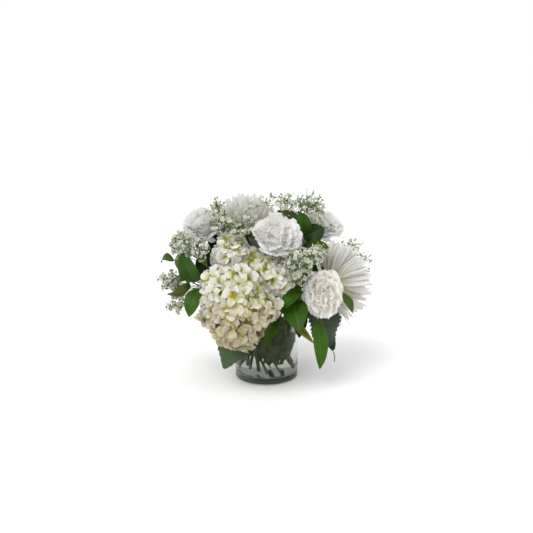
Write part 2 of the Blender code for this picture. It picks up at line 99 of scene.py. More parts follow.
def placed(local, frames, origins):
    """Grids of local points (copies, rows, columns, 3), turned into each copy's frame and moved to
    its origin."""
    return np.einsum("nrck,nkd->nrcd", local, frames) + origins[:, None, None]


def lanes(rows, columns):
    """u across from -1 to 1 and v along from 0 to 1, shaped to fill grids (copies, rows, columns)."""
    return np.linspace(-1, 1, columns)[None, None, :], np.linspace(0, 1, rows)[None, :, None]


def draws(rng, count):
    """Two functions that draw a number for each of count copies, shaped (count, 1, 1): the first evenly
    between two limits, the second about nought with a spread."""
    shape = (count, 1, 1)
    return lambda low, high: rng.uniform(low, high, shape), lambda spread: rng.normal(0, spread, shape)


def bent(start, elbow, end, steps):
    """Curves (count, steps, 3) from each start to each end, drawn towards each elbow: the quadratic
    Bezier curve (1-t)^2 a + 2t(1-t) b + t^2 c."""
    t = np.linspace(0, 1, steps)[None, :, None]
    return (1 - t) ** 2 * start[:, None] + 2 * t * (1 - t) * elbow[:, None] + t**2 * end[:, None]


def resampled(path, step, soften=0):
    """Points about a step apart along the line through these points. A running mean over soften points to
    each side rounds its corners, with the line reflected past its ends."""
    run = np.concatenate(([0.0], np.cumsum(lengths(np.diff(path, axis=0)))))
    stops = np.linspace(0, run[-1], max(4, round(run[-1] / step) + 1))
    line = np.stack([np.interp(stops, run, path[:, k]) for k in range(3)], axis=1)
    if soften:
        before = 2 * line[0] - line[soften:0:-1]
        after = 2 * line[-1] - line[-2 : -soften - 2 : -1]
        long = np.concatenate((before, line, after))
        kernel = np.full(2 * soften + 1, 1 / (2 * soften + 1))
        line = np.stack([np.convolve(long[:, k], kernel, "valid") for k in range(3)], axis=1)
    return line


def cells(index):
    """The quads between neighbouring rows and columns of a grid of corner values."""
    quads = (index[:, :-1, :-1], index[:, :-1, 1:], index[:, 1:, 1:], index[:, 1:, :-1])
    return np.stack(quads, axis=3)


def places(copies, rows, columns):
    """UV of the quads of such grids: across and along, each from 0 to 1."""
    place = np.stack(np.meshgrid(np.linspace(0, 1, columns), np.linspace(0, 1, rows)), axis=2)
    return np.broadcast_to(cells(place[None]), (copies, rows - 1, columns - 1, 4, 2)).reshape(-1, 4, 2)


def added(name, data):
    """A new object of the scene."""
    obj = bpy.data.objects.new(name, data)
    bpy.context.scene.collection.objects.link(obj)
    return obj


class Surface:
    """Closed thin sheets and round bars gathered into one mesh of quads, with a UV map and named values."""

    def __init__(self):
        self.parts = []
        self.count = 0

    def keep(self, points, quads, uv, slot, values):
        """One more part; its corners are numbered on from those before it."""
        self.parts.append((points, quads + self.count, uv, slot, values))
        self.count += len(points)

    def sheets(self, grid, thickness, slot=0, **values):
        """Petals and leaves: grids (copies, rows, columns, 3), given two faces that part from the
        shared rim by thickness times the fourth root of (1 - u^2)(1 - v^2). The upper face looks along
        across x along."""
        copies, rows, columns, _ = grid.shape
        normal = unit(np.cross(np.gradient(grid, axis=2), np.gradient(grid, axis=1)))
        u, v = np.linspace(-1, 1, columns), np.linspace(-1, 1, rows)[:, None]
        swell = (np.clip((1 - u**2) * (1 - v**2), 0, 1) ** 0.25)[None, :, :, None] * normal
        swell = swell * np.broadcast_to(thickness, (copies,))[:, None, None, None] / 2
        upper = np.arange(copies * rows * columns).reshape(copies, rows, columns)
        lower = upper.copy()
        inside = lower[:, 1:-1, 1:-1]
        inside[:] = upper.size + np.arange(inside.size).reshape(inside.shape)
        below = (grid - swell)[:, 1:-1, 1:-1]
        points = np.concatenate(((grid + swell).reshape(-1, 3), below.reshape(-1, 3)))
        quads = np.concatenate((cells(upper).reshape(-1, 4), cells(lower).reshape(-1, 4)[:, ::-1]))
        uv = places(copies, rows, columns)
        kept = {"under": np.concatenate((np.zeros(upper.size), np.ones(inside.size)))}
        for name, value in values.items():
            value = np.broadcast_to(value, (copies, rows, columns))
            kept[name] = np.concatenate((value.ravel(), value[:, 1:-1, 1:-1].ravel()))
        self.keep(points, quads, np.concatenate((uv, uv[:, ::-1])), slot, kept)

    def bars(self, grid, slot=0, **values):
        """Closed bars: rings of points (copies, rings, sides, 3), an even number round, with strips of
        quads as lids. Seen from the far end the points go round anticlockwise."""
        copies, rings, sides, _ = grid.shape
        index = np.arange(copies * rings * sides).reshape(copies, rings, sides)
        half = np.arange(sides // 2 - 1)
        lid = np.stack((half, half + 1, sides - 2 - half, sides - 1 - half), axis=1)
        walls = cells(np.concatenate((index, index[:, :, :1]), axis=2)).reshape(-1, 4)
        start = index[:, 0][:, lid[:, ::-1]].reshape(-1, 4)
        end = index[:, -1][:, lid].reshape(-1, 4)
        lids = np.zeros((len(start), 4, 2))
        uv = np.concatenate((places(copies, rings, sides + 1), lids, lids + (0, 1)))
        kept = {k: np.broadcast_to(v, (copies, rings, sides)).ravel() for k, v in values.items()}
        self.keep(grid.reshape(-1, 3), np.concatenate((walls, start, end)), uv, slot, kept)

    def tubes(self, paths, radii, sides, slot=0, **values):
        """Round bars along paths (copies, steps, 3): each ring lies across the path's direction there."""
        tangent = unit(np.gradient(paths, axis=1))
        whole = unit(paths[:, -1] - paths[:, 0])
        helper = np.eye(3)[np.abs(whole).argmin(axis=1)][:, None]
        side = unit(np.cross(tangent, helper))
        up = np.cross(tangent, side)
        angle = np.linspace(0, TURN, sides, endpoint=False)[:, None]
        ring = side[:, :, None] * np.cos(angle) + up[:, :, None] * np.sin(angle)
        radii = np.broadcast_to(radii, paths.shape[:2])[:, :, None, None]
        self.bars(paths[:, :, None] + ring * radii, slot, **values)

    def tapered(self, paths, ends, sides, slot=0, **values):
        """Round bars along paths whose radius goes evenly from the first of ends to the second."""
        self.tubes(paths, np.linspace(*ends, paths.shape[1]), sides, slot, **values)

    def balls(self, middles, facing, radius, length=1.0, sides=6, rings=4, slot=0, **values):
        """Round or egg-shaped balls: rings at equal turns from pole to pole, and a small flat at
        each pole."""
        flat = 0.30
        turn = np.linspace(flat, math.pi - flat, rings)
        radius = np.broadcast_to(radius, (len(middles),))[:, None]
        along = -np.cos(turn) * radius * length
        paths = middles[:, None] + along[:, :, None] * unit(facing)[:, None]
        self.tubes(paths, np.sin(turn) * radius, sides, slot, **values)

    def build(self, name, materials, node):
        """One object of all that was kept, smooth but for its rims, in the solid's place on the
        arrangement."""
        points, quads, uv = (np.concatenate([part[k] for part in self.parts]) for k in range(3))
        mesh = bpy.data.meshes.new(name)
        mesh.vertices.add(len(points))
        mesh.vertices.foreach_set("co", points.astype(np.float32).ravel())
        mesh.loops.add(quads.size)
        mesh.loops.foreach_set("vertex_index", quads.astype(np.int32).ravel())
        mesh.polygons.add(len(quads))
        mesh.polygons.foreach_set("loop_start", np.arange(0, quads.size, 4, dtype=np.int32))
        slots = [np.full(len(part[1]), part[3], np.int32) for part in self.parts]
        mesh.polygons.foreach_set("material_index", np.concatenate(slots))
        mesh.update(calc_edges=True)
        mesh.uv_layers.new(name="place").data.foreach_set("uv", uv.astype(np.float32).ravel())
        for value in sorted({key for part in self.parts for key in part[4]}):
            kept = [part[4].get(value, np.zeros(len(part[0]))) for part in self.parts]
            layer = mesh.attributes.new(value, "FLOAT", "POINT")
            layer.data.foreach_set("value", np.concatenate(kept).astype(np.float32))
        for material in materials:
            mesh.materials.append(material)
        mesh.shade_smooth()
        mesh.set_sharp_from_angle(angle=SHARP_EDGE)
        obj = added(name, mesh)
        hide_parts(node)
        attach(obj, "root")


# ---- what the solids say


def triangles(node):
    """The solid's triangles, shaped (count, 3, 3)."""
    mesh = NODES[node].data
    mesh.calc_loop_triangles()
    corners = np.empty(len(mesh.loop_triangles) * 3, np.int32)
    mesh.loop_triangles.foreach_get("vertices", corners)
    places = np.empty(len(mesh.vertices) * 3, np.float32)
    mesh.vertices.foreach_get("co", places)
    return places.reshape(-1, 3).astype(float)[corners].reshape(-1, 3, 3)


def mesh_of(node):
    """The solid's corners, each once, and its triangles as numbers of those corners."""
    loose = triangles(node).reshape(-1, 3).round(6)
    corners, index = np.unique(loose, axis=0, return_inverse=True)
    return corners, index.reshape(-1, 3)


def centreline(node, widest=0.0050, foot_reach=0.012):
    """Middles of a stem's rings, from its cut foot upwards: each ring is what the last one's edges lead
    to. It ends where a ring is wider than a stem, at a spray's fork."""
    corners, faces = mesh_of(node)
    linked = np.zeros((len(corners), len(corners)), bool)
    for a, b in ((0, 1), (1, 2), (2, 0)):
        linked[faces[:, a], faces[:, b]] = True
        linked[faces[:, b], faces[:, a]] = True
    foot = corners[corners[:, 2].argmin()]
    ring = lengths(corners - foot) < foot_reach
    seen = ring.copy()
    middles = []
    while ring.any():
        middle = corners[ring].mean(axis=0)
        if lengths(corners[ring] - middle).max() > widest:
            break
        middles.append(middle)
        ring = linked[ring].any(axis=0) & ~seen
        seen |= ring
    return np.array(middles)


def bloom_frame(name, calyx):
    """A bloom's base, its three axes, and its half sizes across and height along them. Its stem runs
    straight into it, and the calyx is that share of its height."""
    stem = centreline(name + "_stem")
    facing = Vector(stem[-1] - stem[-2]).normalized()
    turn = np.array(facing.to_track_quat("Z", "Y").to_matrix()).T
    local = (mesh_of(name + "_bloom")[0] - stem[-1]) @ turn.T
    low, high = local[:, 2].min(), local[:, 2].max()
    height = (high - low) / (1 + calyx)
    base = stem[-1] + turn[2] * (low + calyx * height)
    return base, turn, np.array((*np.abs(local[:, :2]).max(axis=0), height))


def scattered(node, count, rng, spare=30, smooth=0.012):
    """Points spread evenly over a solid: of many random ones, each next one kept lies farthest from those
    kept. The direction at each is the mean of the solid's around it."""
    corners = triangles(node)
    cross = np.cross(corners[:, 1] - corners[:, 0], corners[:, 2] - corners[:, 0])
    area = lengths(cross)
    pick = rng.choice(len(corners), count * spare, p=area / area.sum())
    a, b = np.sqrt(rng.random(len(pick)))[:, None], rng.random(len(pick))[:, None]
    first, second, third = corners[pick].transpose(1, 0, 2)
    places = (1 - a) * first + a * (1 - b) * second + a * b * third
    chosen = [0]
    nearest = lengths(places - places[0])
    for _ in range(count - 1):
        chosen.append(int(nearest.argmax()))
        nearest = np.minimum(nearest, lengths(places - places[chosen[-1]]))
    places = places[chosen]
    away = between(places, corners.mean(axis=1))
    return places, unit(np.exp(-((away / smooth) ** 2)) @ cross)


def leaf_shape(node, twig=None, end=0.002):
    """A leaf's base, its axes (across, along, upper face), length, width and bow. The base is the
    end that is nearer to its twig, or higher; the upper face is the one that the folded halves rise
    towards."""
    corners = mesh_of(node)[0]
    middle = corners.mean(axis=0)
    along = np.linalg.svd(corners - middle)[2][0]
    reach = (corners - middle) @ along
    near, far = corners[reach < reach.min() + end], corners[reach > reach.max() - end]
    ends = np.stack((near.mean(axis=0), far.mean(axis=0)))
    if twig is None:
        far = ends[:, 2].argmin()
    else:
        far = between(ends, twig).min(axis=1).argmax()
    base, tip = ends[1 - far], ends[far]
    along = unit(tip - base)
    length = lengths(tip - base)
    flat = (corners - base) - np.outer((corners - base) @ along, along)
    share = np.clip((corners - base) @ along / length, 0, 1)
    side = np.linalg.svd(flat - flat.mean(axis=0))[2][0]
    side = unit(side - along * (side @ along))
    upper = np.cross(side, along)
    x, z = flat @ side, flat @ upper
    terms = np.stack((np.sin(math.pi * share), np.abs(x)), axis=1)
    bow, fold = np.linalg.lstsq(terms, z, rcond=None)[0]
    if fold < 0:
        side, upper, bow = -side, -upper, -bow
    return base, np.stack((side, along, upper)), length, 2 * np.abs(x).max(), bow


# ---- materials

SALAL_VEINS = 9.0
TOOTHED_VEINS = 11.0
FAINT_REFLECTIONS = (0.16, 0.17, 0.18, 1.0)


class Value:
    """What a node gives. Arithmetic with it makes further nodes."""

    def __init__(self, finish, socket):
        self.finish = finish
        self.socket = socket

    def maths(self, operation, *others):
        """The result of a maths node with the value and others."""
        return self.finish.out("Math", enumerate((self, *others)), operation=operation)

    __add__ = partialmethod(maths, "ADD")
    __sub__ = partialmethod(maths, "SUBTRACT")
    __mul__ = partialmethod(maths, "MULTIPLY")
    __pow__ = partialmethod(maths, "POWER")
    __abs__ = partialmethod(maths, "ABSOLUTE")

    def left(self):
        """One minus the value."""
        return self * -1.0 + 1.0

    def ripple(self):
        """The sine of the value, all of it above zero."""
        return abs(self.maths("SINE"))

    def bands(self):
        """How far the value is from the middle between two whole numbers: 0.5 on each whole number."""
        return abs(self.maths("FRACT") - 0.5)

    def spread(self, low, high, to_low=0.0, to_high=1.0):
        """The value carried from one range to another, and held inside it."""
        return self.finish.out("MapRange", enumerate((self, low, high, to_low, to_high)))


class Nodes:
    """The shader of a material or a world, and the nodes that feed it."""

    def __init__(self, owner, shader, end, **sockets):
        owner.use_nodes = True
        self.owner = owner
        self.tree = owner.node_tree
        self.shader = self.tree.nodes[shader]
        self.surface = self.tree.nodes[end].inputs["Surface"]
        for socket, value in sockets.items():
            self.shader.inputs[socket.replace("_", " ")].default_value = value

    def node(self, kind, inputs=(), **settings):
        """A shader node with its settings, and its inputs by number or name: values or other nodes'
        outputs."""
        made = self.tree.nodes.new("ShaderNode" + kind)
        for key, value in settings.items():
            setattr(made, key, value)
        for key, value in dict(inputs).items():
            if isinstance(value, Value):
                self.tree.links.new(value.socket, made.inputs[key])
            else:
                made.inputs[key].default_value = value
        return made

    def out(self, kind, inputs=(), output=0, **settings):
        """What such a node gives."""
        return Value(self, self.node(kind, inputs, **settings).outputs[output])

    def value(self, name):
        """A named value of the mesh."""
        return self.out("Attribute", output="Fac", attribute_name=name)

    def place(self):
        """Across and along the petal, leaf or stem, each from 0 to 1."""
        split = self.node("SeparateXYZ", {0: self.out("UVMap", uv_map="place")})
        return Value(self, split.outputs[0]), Value(self, split.outputs[1])

    def spot(self):
        """The point of the object."""
        return self.out("TexCoord", output="Object")

    def noise(self, scale, detail=3.0, vector=None):
        """Cloudy noise between 0 and 1, over the object or along a vector."""
        vector = vector or self.spot()
        return self.out("TexNoise", {"Vector": vector, "Scale": scale, "Detail": detail})

    def net(self, scale):
        """The distance to the nearest wall of a net of small cells."""
        inputs = {"Vector": self.spot(), "Scale": scale}
        return self.out("TexVoronoi", inputs, feature="DISTANCE_TO_EDGE")

    def mix(self, share, first, second):
        """The first colour, with a share of the second."""
        first, second = (c if isinstance(c, Value) else (*c, 1.0) for c in (first, second))
        return self.out("Mix", {0: share, 6: first, 7: second}, output=2, data_type="RGBA")

    def link(self, value, socket):
        """The value goes into a socket of the shader."""
        self.tree.links.new(value.socket, self.shader.inputs[socket])

    def colour(self, share, first, second):
        """Both colours mixed are the base colour."""
        self.link(self.mix(share, first, second), "Base Color")

    def outer(self, share, second, inputs):
        """A share of another shader over the first one is what shows."""
        first = Value(self, self.shader.outputs[0])
        mixed = self.out("MixShader", {0: share, 1: first, 2: self.out(second, inputs)})
        self.tree.links.new(mixed.socket, self.surface)

    def thin(self, share):
        """A share of the light that falls on one face leaves by the other, as it does through a petal."""
        colour = self.shader.inputs["Base Color"].links[0].from_socket
        self.outer(share, "BsdfTranslucent", {0: Value(self, colour)})

    def bump(self, height, distance, strength=1.0):
        """The surface looks raised by height times distance."""
        inputs = {"Height": height, "Distance": distance, "Strength": strength}
        self.link(self.out("Bump", inputs), "Normal")


def finish_of(name, **sockets):
    """A Principled material with these values on its sockets."""
    return Nodes(bpy.data.materials.new(name), "Principled BSDF", "Material Output", **sockets)


def hydrangea_finish(name, white, thin):
    """Waxy white sepals: cream to yellow-green towards the claw and darker green deep in the head, partly
    their own colour and partly painted shade; tan with painted shade low down; a fan of fine veins and a few
    red specks."""
    f = finish_of(name, Roughness=0.55)
    across, _ = f.place()
    # The claw's yellow-green and the deep green are partly the sepals' own colour, partly painted shade
    # where sepals meet and deep in the head.
    yellow_green, deep_green_and_shade, tan = (0.74, 0.71, 0.20), (0.37, 0.37, 0.018), (0.40, 0.295, 0.035)
    red, vein = (0.50, 0.16, 0.12), (0.56, 0.53, 0.26)
    cloud = f.noise(60.0)
    green = f.value("green") + cloud * 0.5 - 0.25
    colour = f.mix(green.spread(0.14, 0.76), white, yellow_green)
    colour = f.mix(green.spread(0.62, 1.15), colour, deep_green_and_shade)
    # Painted shade low on the head: a dark tan, partly the florets' own ageing tan.
    colour = f.mix(f.value("warmth") * cloud.spread(0.2, 0.7, 0.7, 1.0), colour, tan)
    speck = f.noise(420.0, 1.0).maths("GREATER_THAN", 0.765)
    colour = f.mix(speck * 0.55, colour, red)
    veins = ((across - 0.5) * 46.0).ripple() ** 0.5
    f.colour(veins.left() * 0.25, colour, vein)
    f.bump(veins * 0.5 + f.noise(900.0), 0.00012)
    f.thin(thin)
    return f.owner


def carnation_finish(name, pale, deep):
    """Soft white petals, cream to pale buff at the claw and on the inner petals, partly their own colour and
    partly painted shade in the folds, with fine veins towards the edge."""
    f = finish_of(name, Roughness=0.62)
    across, _ = f.place()
    colour = f.mix((f.value("warm") + f.noise(45.0) * 0.4 - 0.2).spread(0.0, 1.0), pale, deep)
    veins = ((across - 0.5) * 90.0).ripple()
    f.colour(veins.left() * 0.12, colour, deep)
    f.bump(veins + f.noise(700.0), 0.00010)
    f.thin(0.54)
    return f.owner


def mum_finish():
    """Long white florets, cream towards their base, with lengthwise ribs and painted shade between them."""
    f = finish_of("mum_floret", Roughness=0.5)
    across, _ = f.place()
    white, cream, groove_shade = (0.885, 0.885, 0.875), (0.81, 0.75, 0.50), (0.70, 0.70, 0.60)
    warm = (f.value("warm") + f.noise(50.0) * 0.3 - 0.15).spread(0.0, 1.0)
    ribs = (across * 9.5).ripple()
    # Painted shade: darker lines between the ribs.
    f.colour(ribs.left() * 0.15, f.mix(warm, white, cream), groove_shade)
    f.bump(ribs + f.noise(500.0) * 0.4, 0.00015)
    f.thin(0.50)
    return f.owner


def gypsophila_finishes():
    """White blossoms, green buds and calyxes, and pale green branches."""
    blossom = finish_of("gypsophila_blossom", Roughness=0.6)
    white, bud_green, stem_green, pale_green = (
        (0.84, 0.845, 0.795), (0.40, 0.465, 0.11), (0.07, 0.14, 0.014), (0.20, 0.28, 0.06),
    )
    blossom.colour(blossom.value("warm") * blossom.noise(300.0).spread(0.3, 0.7), white, bud_green)
    blossom.bump(blossom.noise(1500.0), 0.00008)
    blossom.thin(0.28)
    stem = finish_of("gypsophila_stem", Roughness=0.5)
    stem.colour(stem.noise(140.0), stem_green, pale_green)
    stem.bump(stem.noise(900.0), 0.0001)
    return [blossom.owner, stem.owner]


def salal_finish():
    """Leathery leaf: deep to bright glossy green above, dull olive below, with a pale midrib, arched side
    veins and a net of fine ones between them."""
    gloss = {"Coat_Weight": 0.04, "Coat_Roughness": 0.25, "Specular_IOR_Level": 0.14}
    f = finish_of("salal_leaf", Roughness=0.38, **gloss)
    across, along = f.place()
    out = abs(across * 2.0 - 1.0)
    arch = (along * SALAL_VEINS - out**0.8 * 2.4).bands()
    side = arch.spread(0.0, 0.07, 1.0, 0.0) * out.spread(0.55, 1.0, 1.0, 0.0)
    veins = out.spread(0.0, 0.07, 1.0, 0.0).maths("MAXIMUM", side * 0.6)
    dark, middle, bright = (0.007, 0.018, 0.004), (0.014, 0.046, 0.003), (0.038, 0.112, 0.005)
    yellow, vein = (0.20, 0.22, 0.03), (0.15, 0.27, 0.05)
    olive, olive_vein = (0.055, 0.085, 0.022), (0.15, 0.19, 0.075)
    cloud = f.value("bright") + f.noise(45.0) * 0.5 - 0.25
    colour = f.mix(cloud.spread(0.0, 0.5), dark, middle)
    colour = f.mix(cloud.spread(0.5, 1.0), colour, bright)
    colour = f.mix(f.value("yellow") * f.noise(60.0).spread(0.3, 0.6), colour, yellow)
    colour = f.mix(veins * 0.30, colour, vein)
    under = f.value("under")
    f.colour(under, colour, f.mix(veins * 0.6, olive, olive_vein))
    f.link(under * 0.28 + f.noise(200.0).spread(0.2, 0.8, 0.26, 0.40), "Roughness")
    f.bump(f.net(420.0).spread(0.0, 0.12) - veins * 1.6, 0.00008)
    f.thin(0.12)
    return f.owner


def toothed_leaf_finish():
    """Soft quilted leaf: dark matt blue-green, paler along its veins, grey-green below."""
    f = finish_of("hydrangea_leaf", Roughness=0.6, Sheen_Weight=0.08)
    across, along = f.place()
    out = abs(across * 2.0 - 1.0)
    arch = (along * TOOTHED_VEINS - out**0.85 * 3.0).bands()
    veins = out.spread(0.0, 0.05, 1.0, 0.0).maths("MAXIMUM", arch.spread(0.0, 0.08, 1.0, 0.0) * 0.8)
    net = f.net(330.0)
    dark, bright, cloudy = (0.010, 0.024, 0.009), (0.036, 0.085, 0.020), (0.030, 0.060, 0.020)
    vein, fine_vein, grey_green = (0.095, 0.15, 0.06), (0.07, 0.12, 0.05), (0.10, 0.135, 0.085)
    colour = f.mix(f.value("bright").spread(0.0, 1.0), dark, bright)
    colour = f.mix(f.noise(40.0) * 0.5, colour, cloudy)
    colour = f.mix(veins * 0.55, colour, vein)
    colour = f.mix(net.spread(0.06, 0.0) * 0.30, colour, fine_vein)
    f.colour(f.value("under"), colour, grey_green)
    f.bump(net.spread(0.0, 0.14) - veins * 1.8, 0.00025)
    return f.owner


def stem_finish(name, dark, light, scale, rough):
    """Green stems or woody twigs: lengthwise streaks and a little mottling."""
    f = finish_of(name, Roughness=rough)
    stretch = f.out("Mapping", {"Vector": f.spot(), "Scale": (scale, scale, scale / 12)})
    streak = f.noise(1.0, 4.0, stretch)
    f.colour(f.noise(90.0).spread(0.5, 0.7) * 0.4, f.mix(streak.spread(0.35, 0.65), dark, light), dark)
    f.link(streak.spread(0.3, 0.7, rough - 0.1, rough + 0.1), "Roughness")
    f.bump(streak, 0.0002)
    return f.owner


def clear_finish(name, colour, ior, ripple, foot=None):
    """Clear glass or water with faint reflections: it bends light, and lets lamplight through to what
    stands in it. A thick foot is deeper and greener in colour, partly as thick glass is and partly as
    painted shade, and darkest, as painted shade, where it curls under."""
    f = finish_of(name, Base_Color=(*colour, 1.0), Roughness=0.0, IOR=ior, Transmission_Weight=1.0)
    f.shader.inputs["Specular Tint"].default_value = FAINT_REFLECTIONS
    if foot:
        height = f.out("SeparateXYZ", {0: f.spot()}, output=2)
        # Painted shade: darker still where the foot curls under.
        shade = f.mix(height.spread(0.002, 0.008), [0.62 * part for part in foot], foot)
        f.colour(height.spread(0.009, 0.013), shade, colour)
    f.bump(f.noise(ripple, 2.0), 0.0002, 0.25)
    lamplight = f.out("LightPath", output="Is Shadow Ray")
    f.outer(lamplight, "BsdfTransparent", {0: (*colour, 1.0)})
    return f.owner


SEPAL = hydrangea_finish("hydrangea_sepal", (0.84, 0.84, 0.81), 0.42)
# A lighter copy of the sepal finish for the upper head: painted light against the shade it lies in.
PAINTED_LIGHT_SEPAL = hydrangea_finish("painted_light_hydrangea_sepal", (0.98, 0.98, 0.955), 0.50)
CARNATION_PETAL = carnation_finish("carnation_petal", (0.895, 0.90, 0.90), (0.85, 0.81, 0.71))
# Lighter copies of the petal finish for blooms that sit in shade: painted light; the warm one is also warmer
# in its own tone.
PAINTED_LIGHT_CARNATION_PETAL = carnation_finish("bright_carnation_petal", (0.925, 0.93, 0.93), (0.88, 0.845, 0.76))
PAINTED_LIGHT_WARM_CARNATION_PETAL = carnation_finish("warm_carnation_petal", (0.97, 0.965, 0.955), (0.93, 0.87, 0.75))
MUM_FLORET = mum_finish()
GYPSOPHILA = gypsophila_finishes()
SALAL = salal_finish()
TOOTHED_LEAF = toothed_leaf_finish()
GREEN_STEM = stem_finish("green_stem", (0.036, 0.046, 0.010), (0.12, 0.135, 0.035), 700.0, 0.45)
WOODY_TWIG = stem_finish("woody_twig", (0.070, 0.040, 0.020), (0.16, 0.11, 0.050), 900.0, 0.65)
# The foot's green is partly thick glass's own tint, partly painted shade.
GLASS = clear_finish("clear_glass", (0.88, 0.90, 0.89), 1.5, 25.0, (0.86, 0.95, 0.74))
WATER = clear_finish("water", (0.945, 0.96, 0.92), 1.333, 40.0)


# ---- hydrangea

SEPAL_THICKNESS = 0.0005
FLORET_LENGTH = 0.0188
PEDICEL = (0.0011, 0.0006)
PAIR_STEP = 0.0007
EYE = 0.0011
UNDERSIDE = -0.72
FLORET_LAYERS = (
    # depth below the dome, share of the florets, size
    (0.0044, 1.0, 1.0),
    (0.0130, 0.70, 0.95),
)
TO_THE_FRONT = np.array((0.0, -0.30, 0.12))
GREEN_PATCH = (0.018, 0.008)
GREEN_PATCH_REACH = 0.030


def sepal_grids(rng, count, length, fine, cupped, droop, point):
    """Round sepals along +Y from their claw, facing +Z, shaped (count, fine, fine, 3). A square grid is
    laid on a disc by x = u sqrt(1 - v^2/2), y = v sqrt(1 - u^2/2); t = (y + 1)/2 runs from claw to tip.
    The width narrows to the claw by 0.42 + 0.58 t^0.7, the blade rises by a t - b t^2 + c x^2 with waves
    along its edge and a lip at its tip, where a is how cupped its floret is, and pointed ones gain (1 -
    |x|)^2 t^4 at the tip."""
    u = np.linspace(-1, 1, fine)[None, None, :]
    v = u.swapaxes(1, 2)
    x, t = u * np.sqrt(1 - v**2 / 2), (v * np.sqrt(1 - u**2 / 2) + 1) / 2
    pick, _ = draws(rng, count)
    size, cupped, droop, point = (given[:, None, None] for given in (length, cupped, droop, point))
    across = size * pick(0.50, 0.64) * x * (0.42 + 0.58 * t**0.7) + size * pick(-0.08, 0.08) * t**2
    tip = (point + pick(0.0, 0.07)) * (1 - np.abs(x)) ** 2 * t**4
    rise = (cupped + pick(-0.15, 0.15)) * t - (0.35 * cupped + pick(0.0, 0.35) + droop) * t**2
    rise = rise - pick(0.0, 0.25) * t**6
    cup = pick(-0.10, 0.55) * x**2 * t
    wave = pick(0.06, 0.20) * np.sin(pick(3.0, 6.5) * x + pick(0, TURN)) * t**2
    wave = wave + pick(0.0, 0.06) * np.sin(pick(8.0, 12.0) * x + pick(0, TURN)) * t**3
    return grid_of(across, size * (0.03 + t + tip), size * (rise + cup + wave))


def add_florets(surface, rng, centres, facing, length, fine, cupped, green, warmth, droop, point):
    """Four-sepalled florets: two crossed pairs, one a little above the other, round a small eye."""
    count = len(centres)
    spin = rng.uniform(0, TURN, count)
    u, v = lanes(fine, fine)
    # Yellow-green towards the claw: partly the floret's own colour, partly painted shade where its sepals
    # meet.
    claw = 1.05 * np.exp(-((v / 0.42) ** 2)) + 0.20 * (1 - v) - 0.25 * u**2 * v
    looks = {"green": claw + green[:, None, None], "warmth": warmth[:, None, None] * (1.0 - 0.35 * v)}
    for number in range(4):
        roll = spin + number * TURN / 4 + rng.normal(0, 0.10, count)
        local = sepal_grids(rng, count, length * rng.uniform(0.86, 1.10, count), fine, cupped, droop, point)
        local[..., 2] += PAIR_STEP * (number % 2)
        surface.sheets(placed(local, axes(facing, roll), centres), SEPAL_THICKNESS, **looks)
    surface.balls(centres + facing * EYE, facing, EYE, 0.9, sides=4, rings=3, green=0.75)


def hydrangea_head(name, finish, count, tan_and_shade_below, outer_green, inner_green_and_shade, fine):
    """A mophead: florets spread over the solid's dome and a sparser layer under them, greener with painted
    shade, each on its pedicel from the end of the stem. Cupped florets lie deeper, so that their tips reach
    the dome, and so do those that face down; all but those that face right turn a little to the front and
    up. Florets set deeper at random are a little greener, as painted shade. The head is greener about a
    patch right of its middle, and tan with painted shade low down."""
    rng = seeded(name)
    stem = centreline(name + "_stem")
    facing = unit(stem[-1] - stem[-2])
    places, outward = scattered(name + "_head", count, rng)
    shown = outward @ facing > UNDERSIDE
    places, outward = places[shown], outward[shown]
    low, high = np.array(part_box(name + "_head"))
    middle = (low + high) / 2
    surface = Surface()
    for depth, share, bloom in FLORET_LAYERS:
        keep = rng.random(len(places)) < share
        spots, way = places[keep], outward[keep]
        number = len(spots)
        cupped = rng.uniform(0.10, 1.40, number)
        deeper = rng.uniform(-0.0020, 0.0030, number)
        inward = depth + 0.0100 * cupped + deeper
        ahead = np.clip(0.5 - way[:, 1:2], 0, 1) * TO_THE_FRONT
        centres = spots - way * inward[:, None]
        way = unit(way + ahead + 0.08 * facing + rng.normal(0, 0.38, (number, 3)))
        height = (centres[:, 2] - middle[2]) / (high - low)[2]
        fall = np.clip(-way[:, 2] - 0.25, 0, 1)
        centres = centres - way * (0.006 * fall)[:, None]
        # The inner layer's stronger green is partly painted shade.
        deep = inner_green_and_shade if share < 1 else outer_green
        aside = (centres[:, (0, 2)] - middle[[0, 2]] - GREEN_PATCH) / GREEN_PATCH_REACH
        patch = 0.32 * np.exp(-(aside**2).sum(axis=1)) - 0.05
        patch = patch + 0.08 * np.sin(70 * centres[:, 0] + 1.3) * np.sin(65 * centres[:, 2] + 0.4)
        length = (FLORET_LENGTH - 0.003 * np.clip(height, -0.5, 0.5)) * bloom
        add_florets(
            surface, rng, centres, way, length, fine, cupped,
            # Florets set deeper are greener: painted shade.
            green=deep + patch + rng.uniform(-0.08, 0.26, number) + 20 * np.clip(deeper, 0, 1),
            # Painted shade with the florets' own tan: more of it lower on the head.
            warmth=np.clip(tan_and_shade_below * (0.38 - 1.8 * height) + rng.normal(0, 0.08, number), 0, 0.95),
            droop=0.05 * fall,
            point=0.10 * rng.random(number) + 0.35 * (rng.random(number) < 0.5 * fall),
        )
        start = np.broadcast_to(stem[-1], centres.shape)
        elbows = start + (centres - start) * 0.55 + facing * 0.004
        surface.tapered(bent(start, elbows, centres, 5), PEDICEL, 4, green=0.85)
    surface.build(name + "_florets", [finish], name + "_head")


# ---- blooms of petals round an axis


def towards(place, turn, way):
    """How far each place round the bloom's axis looks a given way: nought beside and behind it."""
    along = np.cos(place.reshape(-1, 1)) * turn[0] + np.sin(place.reshape(-1, 1)) * turn[1]
    return np.clip(along @ np.array(way), 0, 1)[:, None, None]


